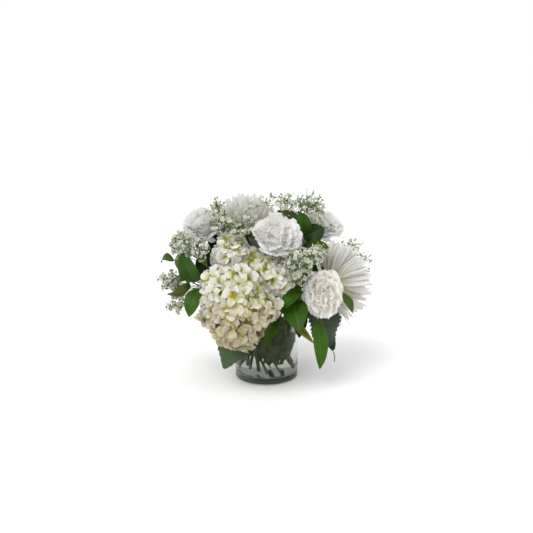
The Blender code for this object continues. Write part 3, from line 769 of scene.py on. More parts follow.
def opened(place, lean_from, lean_to, length, rise, start, back, across, lift):
    """Petals (copies, rows, columns, 3) about the bloom's axis Z, at their places round it. A centreline
    goes out and up from start, and its lean from the axis goes smoothly from one angle to the other as
    rise goes from 0 to 1. Points are drawn back along it, across goes round the axis, and lift off the
    petal towards the axis."""
    lean = lean_from + (lean_to - lean_from) * rise**2 * (3 - 2 * rise)
    step = length / (rise.shape[1] - 1)
    out, up = (np.cumsum(way * step, axis=1) - way * step for way in (np.sin(lean), np.cos(lean)))
    out = start[0] + out - back * np.sin(lean)
    up = start[1] + up - back * np.cos(lean)
    return grid_of(*swung(out - lift * np.cos(lean), across, place), up + lift * np.sin(lean))


def add_core(surface, base, turn, size):
    """The close-packed heart of a bloom, an egg (a sin w, b sin w, c (1 - cos w) / 2) its petals
    stand round."""
    w = np.linspace(0.15, math.pi - 0.15, 9)[:, None]
    angle = np.linspace(0, TURN, 24, endpoint=False)
    egg = grid_of(np.sin(w) * np.cos(angle), np.sin(w) * np.sin(angle), (1 - np.cos(w)) / 2)
    surface.bars(((egg * size) @ turn + base)[None], warm=0.35)


def add_calyx(surface, base, axis, tall, above, radii):
    """The green calyx: a round bar along the bloom's axis, from its height under the base to a
    share above it."""
    t = np.linspace(-1, above, len(radii))[:, None]
    surface.tubes((base + axis * (t * tall))[None], radii, 12, slot=1)


# ---- carnation

PETAL_THICKNESS = 0.0005
CLAW = 0.30
CARNATION_CALYX = 0.22
CARNATION_CORE = (0.60, 0.60, 0.72)
CARNATION_CALYX_RADII = (0.0030, 0.0048, 0.0060, 0.0064, 0.0062, 0.0050)


def carnation_bloom(name, finish, petals, bend, frill, broad, dome, tumble, full, pressed):
    """A carnation: petals spread evenly over a dome, from its middle out to dome degrees. Each claw leans
    a little less than its place, and its fan-shaped limb bends outward past it, so that the frilled edges
    lie over each other like skirts. Half width is L(0.05 + w v^1.2), the edge is an arc cut into teeth,
    and the limb is thrown into broad folds and fine ruffles. The inner ones are turned at random by
    tumble, and those on the pressed side stay shorter and closer to the axis. It is all drawn out to full
    times the solid's size."""
    base, turn, size = bloom_frame(name, CARNATION_CALYX)
    size = size * full
    u, v = lanes(10, 21)
    rng = seeded(name)
    pick, drift = draws(rng, petals)
    number = np.arange(petals)[:, None, None]
    rank = (number + 0.5) / petals
    place = np.arccos(1 - rank * (1 - math.cos(math.radians(dome))))
    round_at = GOLDEN_ANGLE * number + drift(0.12)
    press = towards(round_at, turn, pressed)
    lean_from = place * pick(0.62, 0.85) * (1 - press)
    lean_to = (place * 0.80 + np.radians(pick(*bend))) * (1 - press)
    length = (size[0] + size[1]) / 2 * (1.0 + 0.10 * rank) * pick(0.90, 1.08) * (1 - 0.4 * press)
    half = length * (0.05 + broad * pick(0.36, 0.50) * v**1.2)
    teeth = rng.uniform(0.0, 0.075, (petals, 1, u.size)) * (np.arange(u.size) % 2) * v**8
    back = length * (0.16 * u**2 * v**2 + 0.10 * u**6 * v**3 + teeth)
    waves = pick(3.0, 6.5)
    lift = length * pick(0.05, 0.12) * frill * v**2.2 * np.sin(waves * u + pick(0, TURN))
    lift = lift + length * 0.022 * frill * v**5 * np.sin(pick(11.0, 15.0) * u + pick(0, TURN))
    lift = lift - length * pick(-0.06, 0.10) * u**2 * v
    across, lift = swung(half * u, lift, drift(tumble * (1 - 0.8 * rank)) * v)
    rise = np.clip((v - CLAW) / (1 - CLAW), 0, 1)
    grid = opened(round_at, lean_from, lean_to, length, rise, (0.002, 0.0), back, across, lift)
    reach = np.abs(grid.reshape(-1, 3)).max(axis=0)
    # Painted shade with the claw's own cream: warmer and darker towards the claw and on the inner petals.
    warm = 1.1 * (1 - v) ** 1.1 + 0.15 * (1 - rank) + pick(-0.10, 0.10)
    surface = Surface()
    surface.sheets((grid * (size / reach)) @ turn + base, PETAL_THICKNESS, warm=warm)
    add_core(surface, base, turn, size * CARNATION_CORE)
    add_calyx(surface, base, turn[2], CARNATION_CALYX * size[2], 0.35, CARNATION_CALYX_RADII)
    surface.build(name + "_petals", [finish, GREEN_STEM], name + "_bloom")


# ---- football mum

FLORET_THICKNESS = 0.0006
MUM_CALYX = 0.12
MUM_CORE = (0.46, 0.46, 0.50)
MUM_CALYX_RADII = (0.0040, 0.0070, 0.0095, 0.0100, 0.0060)
MUM_WHORLS = (
    # florets, lean at the base and at the tip in degrees, how far a splay widens the tip, length in heights
    (68, 103, 51, 40, 1.30),
    (68, 101, 47, 38, 1.30),
    (62, 97, 41, 35, 1.28),
    (54, 90, 34, 31, 1.24),
    (44, 81, 27, 25, 1.20),
    (34, 72, 19, 16, 1.15),
    (28, 60, 13, 10, 1.12),
    (22, 46, 8, 5, 1.08),
    (16, 33, 5, 2, 1.04),
    (12, 20, 2, 0, 1.01),
    (8, 8, 0, 0, 0.97),
)
OUTER_WHORLS = 5
INNER_BREADTH = 0.86
LENGTHENED_WHORLS = 3
STRAY_FLORET = (
    (0.110, -0.004, 0.200),
    (0.094, -0.046, 0.218),
    (0.088, -0.061, 0.240),
    (0.081, -0.061, 0.266),
)


def stray_floret(route):
    """A long floret (1, rows, 5, 3) that bends away from the rest along a route, narrow at its base and
    round at its tip."""
    line = resampled(np.array(route), 0.006, 2)
    side = unit(np.cross(np.gradient(line, axis=0), (0.0, -1.0, 0.3)))
    u, t = lanes(len(line), 5)
    u, t = u[0, :, :, None], t[0, :, :, None]
    width = 0.0030 * np.sin(math.pi * (0.08 + 0.80 * t))
    fold = np.array((0.0, -0.5, 0.2)) * width * (u**2)
    return (line[:, None] + side[:, None] * width * u + fold)[None]


def mum_bloom(name, splay, rows, broad, pressed, closing, longer, stray=None):
    """A football mum: shells of long florets laid edge over edge. Half width is W(0.24 + 0.76 v^0.8)(1 -
    0.45 v^6), the section is a channel c u^2, and each twists a little about its length, leans out at its
    base and bends back in towards its round tip. The outer shells are as broad as asked, the inner ones
    alike in all mums. Outer florets that point along longer are lengthened by it, and those on the
    pressed side lie closer to the axis by the share closing."""
    base, turn, size = bloom_frame(name, MUM_CALYX)
    rng = seeded(name)
    surface = Surface()
    u, v = lanes(rows, 5)
    grids = []
    for number, (florets, lean_out, lean_in, widening, share) in enumerate(MUM_WHORLS):
        pick, drift = draws(rng, florets)
        place = GOLDEN_ANGLE * number * 2 + TURN * np.arange(florets)[:, None, None] / florets
        place = place + drift(0.04)
        press = closing * towards(place, turn, unit(np.array(pressed)))
        lean_from = np.radians(lean_out + drift(1.5)) * (1 - 0.7 * press)
        lean_to = np.radians(lean_in + splay * widening + drift(2.8)) * (1 - press)
        length = size[2] * share * pick(0.86, 1.02)
        half = size[0] * (broad if number < OUTER_WHORLS else INNER_BREADTH) * pick(0.086, 0.116)
        half = half * (0.24 + 0.76 * v**0.8) * (1 - 0.45 * v**6)
        back = half * 0.9 * u**2 * v**6
        twist = drift(0.55) * v**0.7
        lift = half * (pick(0.02, 0.12) * u**2 + u * np.sin(twist))
        lift = lift + length * 0.008 * np.sin(5 * v + pick(0, TURN))
        sway = pick(-0.09, 0.09) * v**2 + 0.014 * np.sin(6 * v + pick(0, TURN)) * v
        across = half * u * np.cos(twist) + length * sway
        grid = opened(place, lean_from, lean_to, length, v, (0.004, -0.002), back, across, lift)
        more = 1 + towards(place, turn, longer)[..., None] * max(0.0, 1 - number / LENGTHENED_WHORLS)
        grids.append((grid, more, 0.95 * np.exp(-((v / 0.42) ** 2)) + pick(-0.05, 0.15)))
    reach = np.abs(np.concatenate([grid.reshape(-1, 3) for grid, _, _ in grids])).max(axis=0)
    for grid, more, warm in grids:
        surface.sheets((grid * more * (size / reach)) @ turn + base, FLORET_THICKNESS, warm=warm)
    add_core(surface, base, turn, size * MUM_CORE)
    if stray:
        surface.sheets(stray_floret(stray), FLORET_THICKNESS, warm=0.2)
    add_calyx(surface, base, turn[2], MUM_CALYX * size[2], 0.4, MUM_CALYX_RADII)
    surface.build(name + "_florets", [MUM_FLORET, GREEN_STEM], name + "_bloom")


# ---- baby's breath

BLOSSOM_THICKNESS = 0.0003
WIDEST_STEM = 0.0022
MAIN_STEM = (0.0012, 0.0009)
BRANCH = (0.0008, 0.0005)
SIDE_STALK = (0.0006, 0.0004)
FINE_PEDICEL = (0.00042, 0.00026)
CLEAR_OF_STEM = 0.010
CLUSTER_REACH = 0.0095
BLOSSOM_WHORLS = (
    # petals, lean upwards, size
    (5, 0.20, 1.0),
    (4, 0.95, 0.80),
)
OVER_THE_MUM_FROM_THE_LEFT = (
    (-0.052, -0.046, 0.304),
    (-0.040, -0.052, 0.288),
    (-0.060, -0.052, 0.284),
    (-0.030, -0.046, 0.308),
    (-0.036, -0.038, 0.324),
)
OVER_THE_MUM_FROM_THE_RIGHT = (
    (-0.004, -0.024, 0.336),
    (0.012, -0.020, 0.346),
    (0.024, -0.024, 0.332),
    (-0.020, -0.030, 0.330),
    (0.098, 0.008, 0.302),
    (0.122, 0.008, 0.288),
)


def groups(points, reach, core=0.62, fewest=6):
    """Middles of the clusters of points. The first left point and all within reach of it give a centre,
    and the points within a share of the reach of that are a cluster, again and again."""
    left = points
    found = []
    while len(left):
        near = lengths(left - left[0]) < reach
        near = lengths(left - left[near].mean(axis=0)) < reach * core
        if near.sum() >= fewest:
            found.append(left[near].mean(axis=0))
        if not near.any():
            near[0] = True
        left = left[~near]
    return np.array(found)


def add_blossoms(surface, rng, centres, facing, radius):
    """Double blossoms: an outer and an inner whorl of small cupped petals on a green calyx. A petal's
    half width is 0.7 L(0.35 + 0.75 v), its tip is drawn back by u^2 and its edges rise by it, and it
    leans up from the whorl."""
    u, v = lanes(3, 3)
    count = len(centres)
    pick, drift = draws(rng, count)
    for petals, lean, share in BLOSSOM_WHORLS:
        spin = rng.uniform(0, TURN, count)
        for number in range(petals):
            size = radius[:, None, None] * share * pick(0.8, 1.15)
            tilt = (lean + drift(0.22)) * (0.4 + 0.6 * v)
            flat = size * (0.10 + v - 0.25 * u**2 * v)
            z = flat * np.sin(tilt) + size * 0.12 * u**2
            local = grid_of(size * 0.70 * (0.35 + 0.75 * v) * u, flat * np.cos(tilt), z)
            roll = spin + number * TURN / petals + rng.normal(0, 0.15, count)
            warm = 0.9 * (1 - v) + pick(-0.1, 0.3)
            surface.sheets(placed(local, axes(facing, roll), centres), BLOSSOM_THICKNESS, warm=warm)
    surface.balls(centres - facing * radius[:, None] * 0.25, facing, radius * 0.34, 1.3, 4, 3, slot=1)


def add_clusters(surface, rng, hubs, mouths, outward, blossoms, buds, size, spread):
    """Fine forked pedicels from each mouth, ending in blossoms round its hub and, further out, in buds.
    Some buds are green still, the others show white."""
    for blossoming, count, reach in ((True, blossoms, (0.25, 1.0)), (False, buds, (0.7, 1.35))):
        hub = np.repeat(np.arange(len(hubs)), count)
        number = len(hub)
        way = unit(rng.normal(0, 1, (number, 3)) + 0.55 * outward[hub])
        ends = hubs[hub] + way * spread * rng.uniform(*reach, (number, 1)) ** 0.7
        joints = hubs[hub] + (ends - hubs[hub]) * 0.35 + rng.normal(0, 0.0012, (number, 3))
        surface.tapered(bent(mouths[hub], joints, ends, 4), FINE_PEDICEL, 4, slot=1)
        facing = unit(ends - joints + 0.004 * way + (0, 0, 0.001))
        if blossoming:
            add_blossoms(surface, rng, ends, facing, size * rng.uniform(0.75, 1.2, number))
        else:
            green = rng.random(number) < 0.30
            radius = rng.uniform(0.0008, 0.0013, number)
            surface.balls(ends[green], facing[green], radius[green], 1.25, slot=1)
            surface.balls(ends[~green], facing[~green], radius[~green] * 1.2, 1.2, warm=0.6)


def spray(name, blossoms, buds, size, spread, strays=()):
    """Baby's breath: the main stem to its fork, a branch to each cluster of the solid, and the blossoms
    and buds of each cluster. A few thin side stalks go on from the nearest cluster to the strays, over
    the flowers beside it."""
    rng = seeded(name)
    stem = centreline(name, WIDEST_STEM)
    fork = stem[-1]
    corners = mesh_of(name)[0]
    away = between(corners, stem).min(axis=1)
    order = np.argsort(-lengths(corners - fork))
    hubs = groups(corners[order][away[order] > CLEAR_OF_STEM], CLUSTER_REACH)
    outward = unit(hubs - fork)
    surface = Surface()
    line = resampled(stem, 0.004, 2)
    surface.tapered(line[None], MAIN_STEM, 8, slot=1)
    roots = np.broadcast_to(fork, hubs.shape)
    elbows = roots + (hubs - roots) * 0.5 + rng.normal(0, 0.004, hubs.shape) + (0, 0, 0.004)
    mouths = hubs - outward * 0.006
    surface.tapered(bent(roots, elbows, mouths, 6), BRANCH, 6, slot=1)
    add_clusters(surface, rng, hubs, mouths, outward, blossoms, buds, size, spread)
    if strays:
        tips = np.array(strays)
        nearest = hubs[between(tips, hubs).argmin(axis=1)]
        outward = unit(tips - nearest)
        mouths = tips - outward * 0.007
        elbows = (nearest + mouths) / 2 + (0, -0.006, 0.004)
        surface.tapered(bent(nearest, elbows, mouths, 6), SIDE_STALK, 5, slot=1)
        add_clusters(surface, rng, tips, mouths, outward, 4, 3, size, 0.012)
    surface.build(name + "_spray", GYPSOPHILA, name)


# ---- leaves

LEAF_THICKNESS = 0.0007
SMALL_LEAF_THICKNESS = 0.0006
RIB = (0.00085, 0.0002)
TEETH = 13
TENDRIL = ((0.0, 0.0, 0.006), (0.0, 0.0, 0.0), (0.005, 0.0, -0.005), (0.005, 0.0, -0.022))


def blade(rng, shape, rows, columns, outline, fold, wave, curl, quilt=0.0, veins=SALAL_VEINS):
    """A leaf blade (rows, columns, 3) about its solid's base and axes. Half width is W/2
    outline(v); the blade bows by sin(pi v), folds up from its midrib by |u|, waves along its edge
    by u^2 sin(v), curls down at the tip by (v - 0.6)^2, is quilted between its side veins, and
    twists a little about the midrib."""
    base, turn, length, width, bow = shape
    u = np.linspace(-1, 1, columns)[None, :]
    v = np.linspace(0, 1, rows)[:, None]
    half = width / 2 * outline(v, u)
    lift = bow * np.sin(math.pi * v) + fold * np.abs(u) * half
    lift = lift + wave * width * u**2 * np.sin(TURN * 1.7 * v + rng.uniform(0, TURN, 2)[(u > 0).astype(int)])
    lift = lift - curl * length * np.clip(v - 0.6, 0, 1) ** 2
    out = np.abs(u)
    lift = lift + quilt * np.cos(TURN * (veins * v - 2.6 * out**0.85)) * out**0.5 * (1 - v**4)
    x, z = swung(half * u, lift, rng.uniform(-0.2, 0.2) * v)
    return grid_of(x, length * v, z) @ turn + base


def smooth_outline(v, u):
    """Ovate with a drawn-out tip: v^0.55 (1 - v)^0.75, scaled to 1 where it is widest, drawn in
    beyond v = 0.8."""
    v = np.clip(v, 0, 1)
    widest = 0.55 / 1.30
    body = (v / widest) ** 0.55 * ((1 - v) / (1 - widest)) ** 0.75
    return body * (1 - 0.40 * np.clip((v - 0.80) / 0.20, 0, 1) ** 2) + 0.03


def toothed_outline(v, u):
    """Broadly ovate, with forward-pointing teeth along both edges: a saw wave that grows towards
    the edge."""
    tooth = (v * TEETH) % 1.0
    body = np.sin(math.pi * np.clip(v, 0, 1) ** 0.78) ** 0.80
    return body * (1 + 0.17 * (tooth - 0.5) * np.abs(u) ** 3) * (1 - 0.2 * v**4) + 0.03


def add_leaf(surface, grid, shape, thickness, looks, stalk=None, slots=(0, 1)):
    """A blade with its looks, its raised midrib below, and a stalk from the twig."""
    surface.sheets(grid[None], thickness, slots[0], bright=looks[0], yellow=looks[1])
    middle = grid[:, grid.shape[1] // 2] - shape[1][2] * (thickness / 2 + 0.0001)
    rib = resampled(middle, shape[2] / 16)
    if stalk is not None:
        rib = np.concatenate((stalk[None], rib))
    surface.tapered(rib[None], RIB, 6, slots[1])


SALAL_LOOKS = {
    # for each leaf of a twig: bright, yellow, fold of its halves
    "left": (
        (0.80, 0.2, 0.25),
        (0.45, 0.6, 0.25),
        (0.80, 0.0, 0.22),
        (0.20, 0.0, 0.22),
        (0.45, 0.5, 0.22),
        (0.90, 0.0, 0.22),
    ),
    "top": ((0.45, 0.4, 0.22), (0.85, 0.0, 0.30), (0.25, 0.0, 0.22), (0.75, 0.1, 0.22)),
    "front": ((0.85, 0.0, 0.22), (0.75, 0.0, 0.22), (0.75, 0.1, 0.30)),
    "low": ((0.95, 0.0, 0.55), (0.80, 0.8, 0.90)),
    "right": ((0.70, 0.1, 0.22), (0.25, 0.0, 0.22)),
    "back": ((0.80, 0.0, 0.22), (0.55, 0.0, 0.22), (0.70, 0.0, 0.22)),
}


def salal(name, leaves):
    """A twig, knotted at even steps, and its leaves, each in its own piece."""
    line = resampled(centreline(name + "_twig"), 0.0025, 3)
    surface = Surface()
    knots = 1 + 0.18 * np.exp(-((np.sin(np.arange(len(line)) * 0.35) / 0.25) ** 2))
    surface.tubes(line[None], np.linspace(0.0017, 0.0011, len(line)) * knots, 8)
    surface.build(name + "_branch", [WOODY_TWIG], name + "_twig")
    for number, (bright, yellow, fold) in enumerate(leaves, 1):
        node = f"{name}_leaf_{number}"
        shape = leaf_shape(node, line)
        stalk = line[lengths(line - shape[0]).argmin()]
        surface = Surface()
        grid = blade(seeded(node), shape, 30, 13, smooth_outline, fold, wave=0.035, curl=0.16, quilt=0.0003)
        add_leaf(surface, grid, shape, LEAF_THICKNESS, (bright, yellow), stalk)
        surface.build(f"{name}_blade_{number}", [SALAL, WOODY_TWIG], node)


def toothed_leaf(place, bright, wave, curl, tendril=()):
    """One broad toothed leaf; a tendril may hang from its tip."""
    node = "hydrangea_leaf_" + place
    surface = Surface()
    base, turn, length, _, _ = shape = leaf_shape(node)
    form = {"fold": 0.22, "wave": wave, "curl": curl, "quilt": 0.0007, "veins": TOOTHED_VEINS}
    grid = blade(seeded(node), shape, 86, 17, toothed_outline, **form)
    add_leaf(surface, grid, shape, LEAF_THICKNESS, (bright, 0.0))
    if tendril:
        route = base + turn[1] * length + tendril
        surface.tubes(resampled(route, 0.003, 2)[None], 0.0009, 6, slot=1)
    surface.build("hydrangea_blade_" + place, [TOOTHED_LEAF, GREEN_STEM], node)


# ---- stems, vase and water

IN_THE_WATER = 0.08
SMALL_LEAF_BOW = 0.006
ROUND_SIDES = 96
MIDDLE = 0.010
SOCKET_GAP = 0.0004
INNER_CORNER = 0.0065
FOOT_CURL = 0.0058
WETTING = 0.0003
MENISCUS = 0.0005
STEM_LEAVES = {
    # for each leaf: height that it leaves its stem at, its tip, the way its face looks, width, brightness
    "hydrangea_upper_stem": (
        (0.150, (-0.015, -0.055, 0.226), (0.3, -0.9, 0.2), 0.030, 0.20),
        (0.140, (0.001, -0.074, 0.164), (0.1, -0.9, 0.3), 0.030, 0.15),
    ),
    "hydrangea_front_stem": (
        (0.138, (-0.004, -0.072, 0.172), (0.5, -0.8, 0.2), 0.030, 0.25),
        (0.110, (-0.016, -0.046, 0.040), (0.0, -1.0, 0.1), 0.018, 0.10),
        (0.120, (-0.032, -0.036, 0.052), (-0.3, -1.0, 0.1), 0.018, 0.10),
    ),
    "hydrangea_back_stem": (
        (0.140, (-0.088, 0.052, 0.128), (-0.6, 0.5, 0.6), 0.034, 0.35),
        (0.145, (-0.010, 0.070, 0.190), (0.0, 0.8, 0.5), 0.032, 0.30),
    ),
    "mum_top_stem": (
        (0.190, (-0.063, 0.016, 0.276), (-0.2, -0.8, 0.5), 0.030, 0.25),
        (0.210, (-0.036, -0.012, 0.272), (0.1, -0.9, 0.4), 0.030, 0.20),
        (0.170, (-0.052, -0.006, 0.232), (-0.3, -0.8, 0.5), 0.032, 0.25),
        (0.215, (-0.050, 0.060, 0.268), (-0.3, 0.8, 0.5), 0.030, 0.40),
        (0.110, (0.004, -0.044, 0.036), (0.1, -1.0, 0.0), 0.020, 0.15),
    ),
    "mum_right_stem": (
        (0.158, (0.086, 0.008, 0.254), (0.1, -0.9, 0.3), 0.034, 0.25),
        (0.165, (0.104, -0.024, 0.218), (0.2, -0.9, 0.2), 0.030, 0.25),
        (0.160, (0.128, 0.020, 0.118), (0.6, -0.3, 0.6), 0.036, 0.45),
        (0.110, (0.030, -0.036, 0.042), (0.4, -0.9, 0.0), 0.024, 0.10),
    ),
    "mum_back_stem": (
        (0.150, (0.098, 0.078, 0.150), (0.5, 0.6, 0.6), 0.036, 0.40),
        (0.170, (0.074, 0.070, 0.240), (0.5, 0.6, 0.5), 0.032, 0.35),
    ),
    "carnation_left_stem": (
        (0.200, (-0.085, 0.000, 0.262), (0.0, -0.9, 0.4), 0.034, 0.20),
        (0.180, (-0.112, -0.008, 0.226), (-0.1, -0.9, 0.4), 0.034, 0.20),
        (0.220, (-0.128, -0.004, 0.250), (-0.2, -0.8, 0.5), 0.028, 0.25),
        (0.210, (-0.102, 0.022, 0.284), (0.1, -0.9, 0.3), 0.036, 0.20),
        (0.190, (-0.076, 0.026, 0.270), (0.2, -0.9, 0.3), 0.036, 0.15),
        (0.170, (-0.104, 0.010, 0.240), (-0.1, -0.9, 0.3), 0.036, 0.15),
        (0.160, (-0.112, 0.044, 0.196), (-0.6, 0.5, 0.5), 0.036, 0.40),
        (0.200, (-0.134, 0.040, 0.232), (-0.6, 0.5, 0.5), 0.032, 0.35),
    ),
    "carnation_front_stem": (
        (0.200, (0.034, -0.034, 0.232), (0.2, -0.9, 0.3), 0.030, 0.15),
        (0.180, (0.020, -0.050, 0.214), (0.1, -0.9, 0.3), 0.032, 0.15),
        (0.115, (0.018, -0.045, 0.034), (0.3, -0.9, 0.0), 0.021, 0.15),
        (0.125, (0.048, -0.012, 0.070), (0.6, -0.8, 0.0), 0.024, 0.15),
    ),
    "carnation_right_stem": (
        (0.158, (0.058, -0.046, 0.206), (0.0, -0.9, 0.3), 0.030, 0.20),
        (0.118, (-0.006, -0.048, 0.038), (0.1, -1.0, 0.0), 0.017, 0.20),
    ),
    "carnation_upper_right_stem": (
        (0.200, (0.086, 0.020, 0.262), (0.3, -0.8, 0.5), 0.032, 0.25),
        (0.190, (0.120, 0.050, 0.246), (0.7, 0.0, 0.6), 0.034, 0.35),
    ),
    "carnation_back_top_stem": (
        (0.170, (0.014, 0.086, 0.222), (0.1, 0.8, 0.5), 0.034, 0.35),
        (0.160, (-0.060, 0.070, 0.218), (-0.3, 0.7, 0.6), 0.034, 0.35),
    ),
}


def stem_piece(node, radius, end_radius, joints):
    """A cut stem along its solid's route, with its leaves: it tapers upwards and swells a little at
    its joints."""
    line = resampled(centreline(node), 0.003, 3)
    share = np.linspace(0, 1, len(line))
    swell = 1 + 0.28 * np.exp(-(((share * joints) % 1.0 - 0.5) / 0.06) ** 2) if joints else 1.0
    surface = Surface()
    surface.tubes(line[None], (radius + (end_radius - radius) * share) * swell, 12)
    rng = seeded(node)
    for height, tip, upper, width, bright in STEM_LEAVES.get(node, ()):
        base = line[np.abs(line[:, 2] - height).argmin()]
        along = np.array(tip) - base
        side = unit(np.cross(along, upper))
        turn = np.stack((side, unit(along), unit(np.cross(side, along))))
        shape = (base, turn, lengths(along), width, SMALL_LEAF_BOW)
        grid = blade(rng, shape, 14, 7, smooth_outline, fold=0.22, wave=0.06, curl=0.2)
        # Leaves under the water are yellower, to read olive as in the vase: painted shade of its interior.
        looks = (bright, 0.4 if tip[2] < IN_THE_WATER else 0.2)
        add_leaf(surface, grid, shape, SMALL_LEAF_THICKNESS, looks, slots=(1, 0))
    surface.build(node.replace("stem", "stalk"), [GREEN_STEM, SALAL], node)


def turned(name, profile, material):
    """A surface of revolution about Z: the profile (radius, height) goes up the outside and down the
    inside, or to the middle of the top."""
    angle = np.linspace(0, TURN, ROUND_SIDES, endpoint=False)
    radius, height = np.array(profile).T[:, :, None]
    surface = Surface()
    surface.bars(grid_of(radius * np.cos(angle), radius * np.sin(angle), height)[None])
    surface.build("clear_" + name, [material], name)


def arc(radius, height, bend, start, end):
    """Points (radius, height) on a round corner about its middle, from one angle to another, in degrees."""
    angle = np.radians(np.linspace(start, end, 9))
    return [(radius + bend * math.cos(a), height + bend * math.sin(a)) for a in angle]


def upright(radius, start, end):
    """Points (radius, height) between two heights of a straight wall."""
    return [(radius, z) for z in np.linspace(start, end, 10)[1:-1]]


def vase_and_water():
    """The glass, with its thick rounded foot and round rim, and the water, which wets the glass: it
    reaches a little into the wall and the floor, and rises where it meets the wall."""
    low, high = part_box("vase")
    outer, tall = (high[0] - low[0]) / 2, high[2]
    low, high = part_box("water")
    inner, floor, level = (high[0] - low[0]) / 2 + SOCKET_GAP, low[2] - SOCKET_GAP, high[2]
    rim = (outer - inner) / 2
    glass = [
        (MIDDLE, 0.0),
        *arc(outer - FOOT_CURL, FOOT_CURL, FOOT_CURL, -90, 0),
        *upright(outer, FOOT_CURL, tall - rim),
        *arc(outer - rim, tall - rim, rim, 0, 180),
        *upright(inner, tall - rim, floor + INNER_CORNER),
        *arc(inner - INNER_CORNER, floor + INNER_CORNER, INNER_CORNER, 0, -90),
        (MIDDLE, floor),
    ]
    turned("vase", glass, GLASS)
    wet, bottom = inner + WETTING, floor - WETTING
    water = [
        (MIDDLE, bottom),
        *arc(wet - INNER_CORNER, bottom + INNER_CORNER, INNER_CORNER, -90, 0),
        (wet, level * 0.5),
        (wet, level + MENISCUS),
        (wet - 0.0010, level + 0.0003),
        (wet - 0.0030, level),
        (MIDDLE, level),
    ]
    turned("water", water, WATER)


# ---- stage

WHITE = (1.0, 1.0, 1.0, 1.0)
FLOOR = ((-12.0, -12.0, 0), (12.0, -12.0, 0), (12.0, 12.0, 0), (-12.0, 12.0, 0))
LAMPS = (
    # name, place, how wide it looks in degrees, power
    ("key", (-0.9, -1.1, 1.6), 40.0, 1.60),
    ("fill", (1.4, -1.2, 1.0), 60.0, 0.58),
)
SKY_LIGHT = 0.92
CAMERA_PLACE = (0.0, -1.2, 0.4405)
CAMERA_TILT = math.pi / 2 - 0.18697
CAMERA_LENS = 44.06


def stage():
    """Pale floor, soft key from the upper left, a weaker fill and an even pale sky; the camera."""
    mesh = bpy.data.meshes.new("floor")
    mesh.from_pydata(FLOOR, [], [(0, 1, 2, 3)])
    mesh.materials.append(finish_of("pale_floor", Base_Color=(0.90, 0.90, 0.90, 1.0), Roughness=0.9).owner)
    added("floor", mesh)
    for name, place, angle, power in LAMPS:
        data = bpy.data.lights.new(name, "SUN")
        data.angle = math.radians(angle)
        data.energy = power
        added(name, data).rotation_euler = (-Vector(place)).to_track_quat("-Z", "Y").to_euler()
    sky = Nodes(bpy.data.worlds.new("studio"), "Background", "World Output", Color=WHITE, Strength=SKY_LIGHT)
    sky.outer(sky.out("LightPath", output="Is Camera Ray"), "Background", {0: WHITE})
    data = bpy.data.cameras.new("camera")
    data.lens = CAMERA_LENS
    data.sensor_width = 36.0
    camera = added("camera", data)
    camera.location = CAMERA_PLACE
    camera.rotation_euler = (CAMERA_TILT, 0.0, 0.0)
    scene = bpy.context.scene
    scene.world = sky.owner
    scene.camera = camera
    scene.view_settings.view_transform = "Standard"


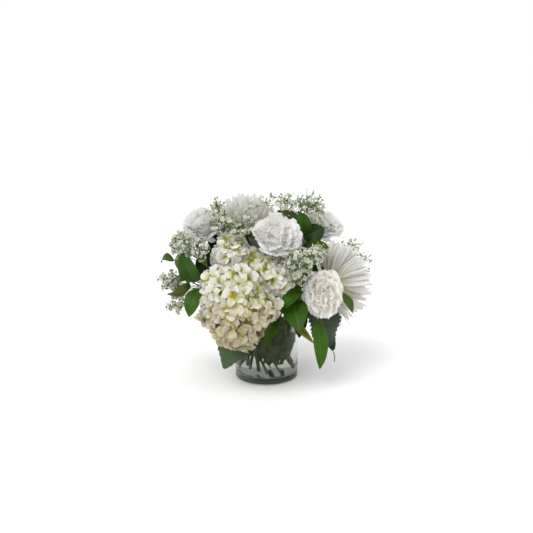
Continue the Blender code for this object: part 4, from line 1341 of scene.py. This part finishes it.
stage()
vase_and_water()
for head, *looks in (
    # name, finish, florets, tan with painted shade low down, green of the outer and of the inner layer (the
    # inner one darker, as painted shade), fineness
    ("hydrangea_front", SEPAL, 168, 1.0, 0.0, 0.95, 6),
    # The upper head's lighter finish and lower greens are painted light against the shade it lies in.
    ("hydrangea_upper", PAINTED_LIGHT_SEPAL, 105, 0.0, -0.09, 0.05, 6),
    ("hydrangea_back", SEPAL, 118, 0.6, 0.0, 0.60, 5),
):
    hydrangea_head(head, *looks)
    stem_piece(head + "_stem", 0.0036, 0.0034, 2)
for place, *looks in (
    # place, finish, petals, outward bend, frill, breadth, dome, tumble, fullness, pressed side
    ("front", CARNATION_PETAL, 50, (22, 60), 1.20, 1.15, 96, 0.8, 1.06, (-0.46, 0.0, -0.34)),
    ("left", PAINTED_LIGHT_CARNATION_PETAL, 42, (8, 30), 0.60, 1.35, 98, 0.6, 1.08, (0.0, 0.0, -0.2)),
    ("upper_right", PAINTED_LIGHT_CARNATION_PETAL, 44, (12, 42), 0.80, 1.25, 98, 0.7, 1.06, (0.0, 0.0, -0.2)),
    ("right", PAINTED_LIGHT_WARM_CARNATION_PETAL, 64, (10, 42), 1.20, 1.00, 106, 0.75, 0.99, (0.0, 0.0, 0.0)),
    ("back_top", CARNATION_PETAL, 46, (26, 62), 1.0, 1.1, 104, 0.8, 1.06, (0.0, 0.0, 0.0)),
):
    carnation_bloom("carnation_" + place, *looks)
    stem_piece(f"carnation_{place}_stem", 0.0022, 0.0021, 4)
for bloom, *looks in (
    # name, splay, rows, breadth of outer florets, pressed side and its closing, longer side, stray floret
    ("mum_right", 0.85, 11, 0.82, (0.0, -1.0, 0.0), 0.50, (0.20, 0.0, -0.20), STRAY_FLORET),
    ("mum_top", 0.9, 10, 0.62, (0.0, -1.0, 0.0), 0.15, (0.22, 0.0, 0.0)),
    ("mum_back", 0.6, 7, 1.1, (0.0, 0.0, -1.0), 0.0, (0.0, 0.0, 0.0)),
):
    mum_bloom(bloom, *looks)
    stem_piece(bloom + "_stem", 0.0030, 0.0028, 0)
for place, leaves in SALAL_LOOKS.items():
    salal("salal_" + place, leaves)
toothed_leaf("left", 0.9, 0.05, 0.1)
toothed_leaf("right", 0.1, 0.16, 0.2, TENDRIL)
toothed_leaf("back", 0.9, 0.05, 0.1)
for place, *looks in (
    # place, blossoms and buds of a cluster, size of a blossom, spread of a cluster, strays
    ("left", 16, 8, 0.0034, 0.0125),
    ("far_left", 13, 8, 0.0032, 0.011),
    ("upper_left", 9, 8, 0.0032, 0.013, OVER_THE_MUM_FROM_THE_LEFT),
    ("top", 9, 8, 0.0029, 0.017, OVER_THE_MUM_FROM_THE_RIGHT),
    ("centre", 13, 8, 0.0035, 0.015),
    ("right", 5, 8, 0.0029, 0.017),
    ("back", 10, 5, 0.0036, 0.014),
):
    spray("gypsophila_" + place, *looks)
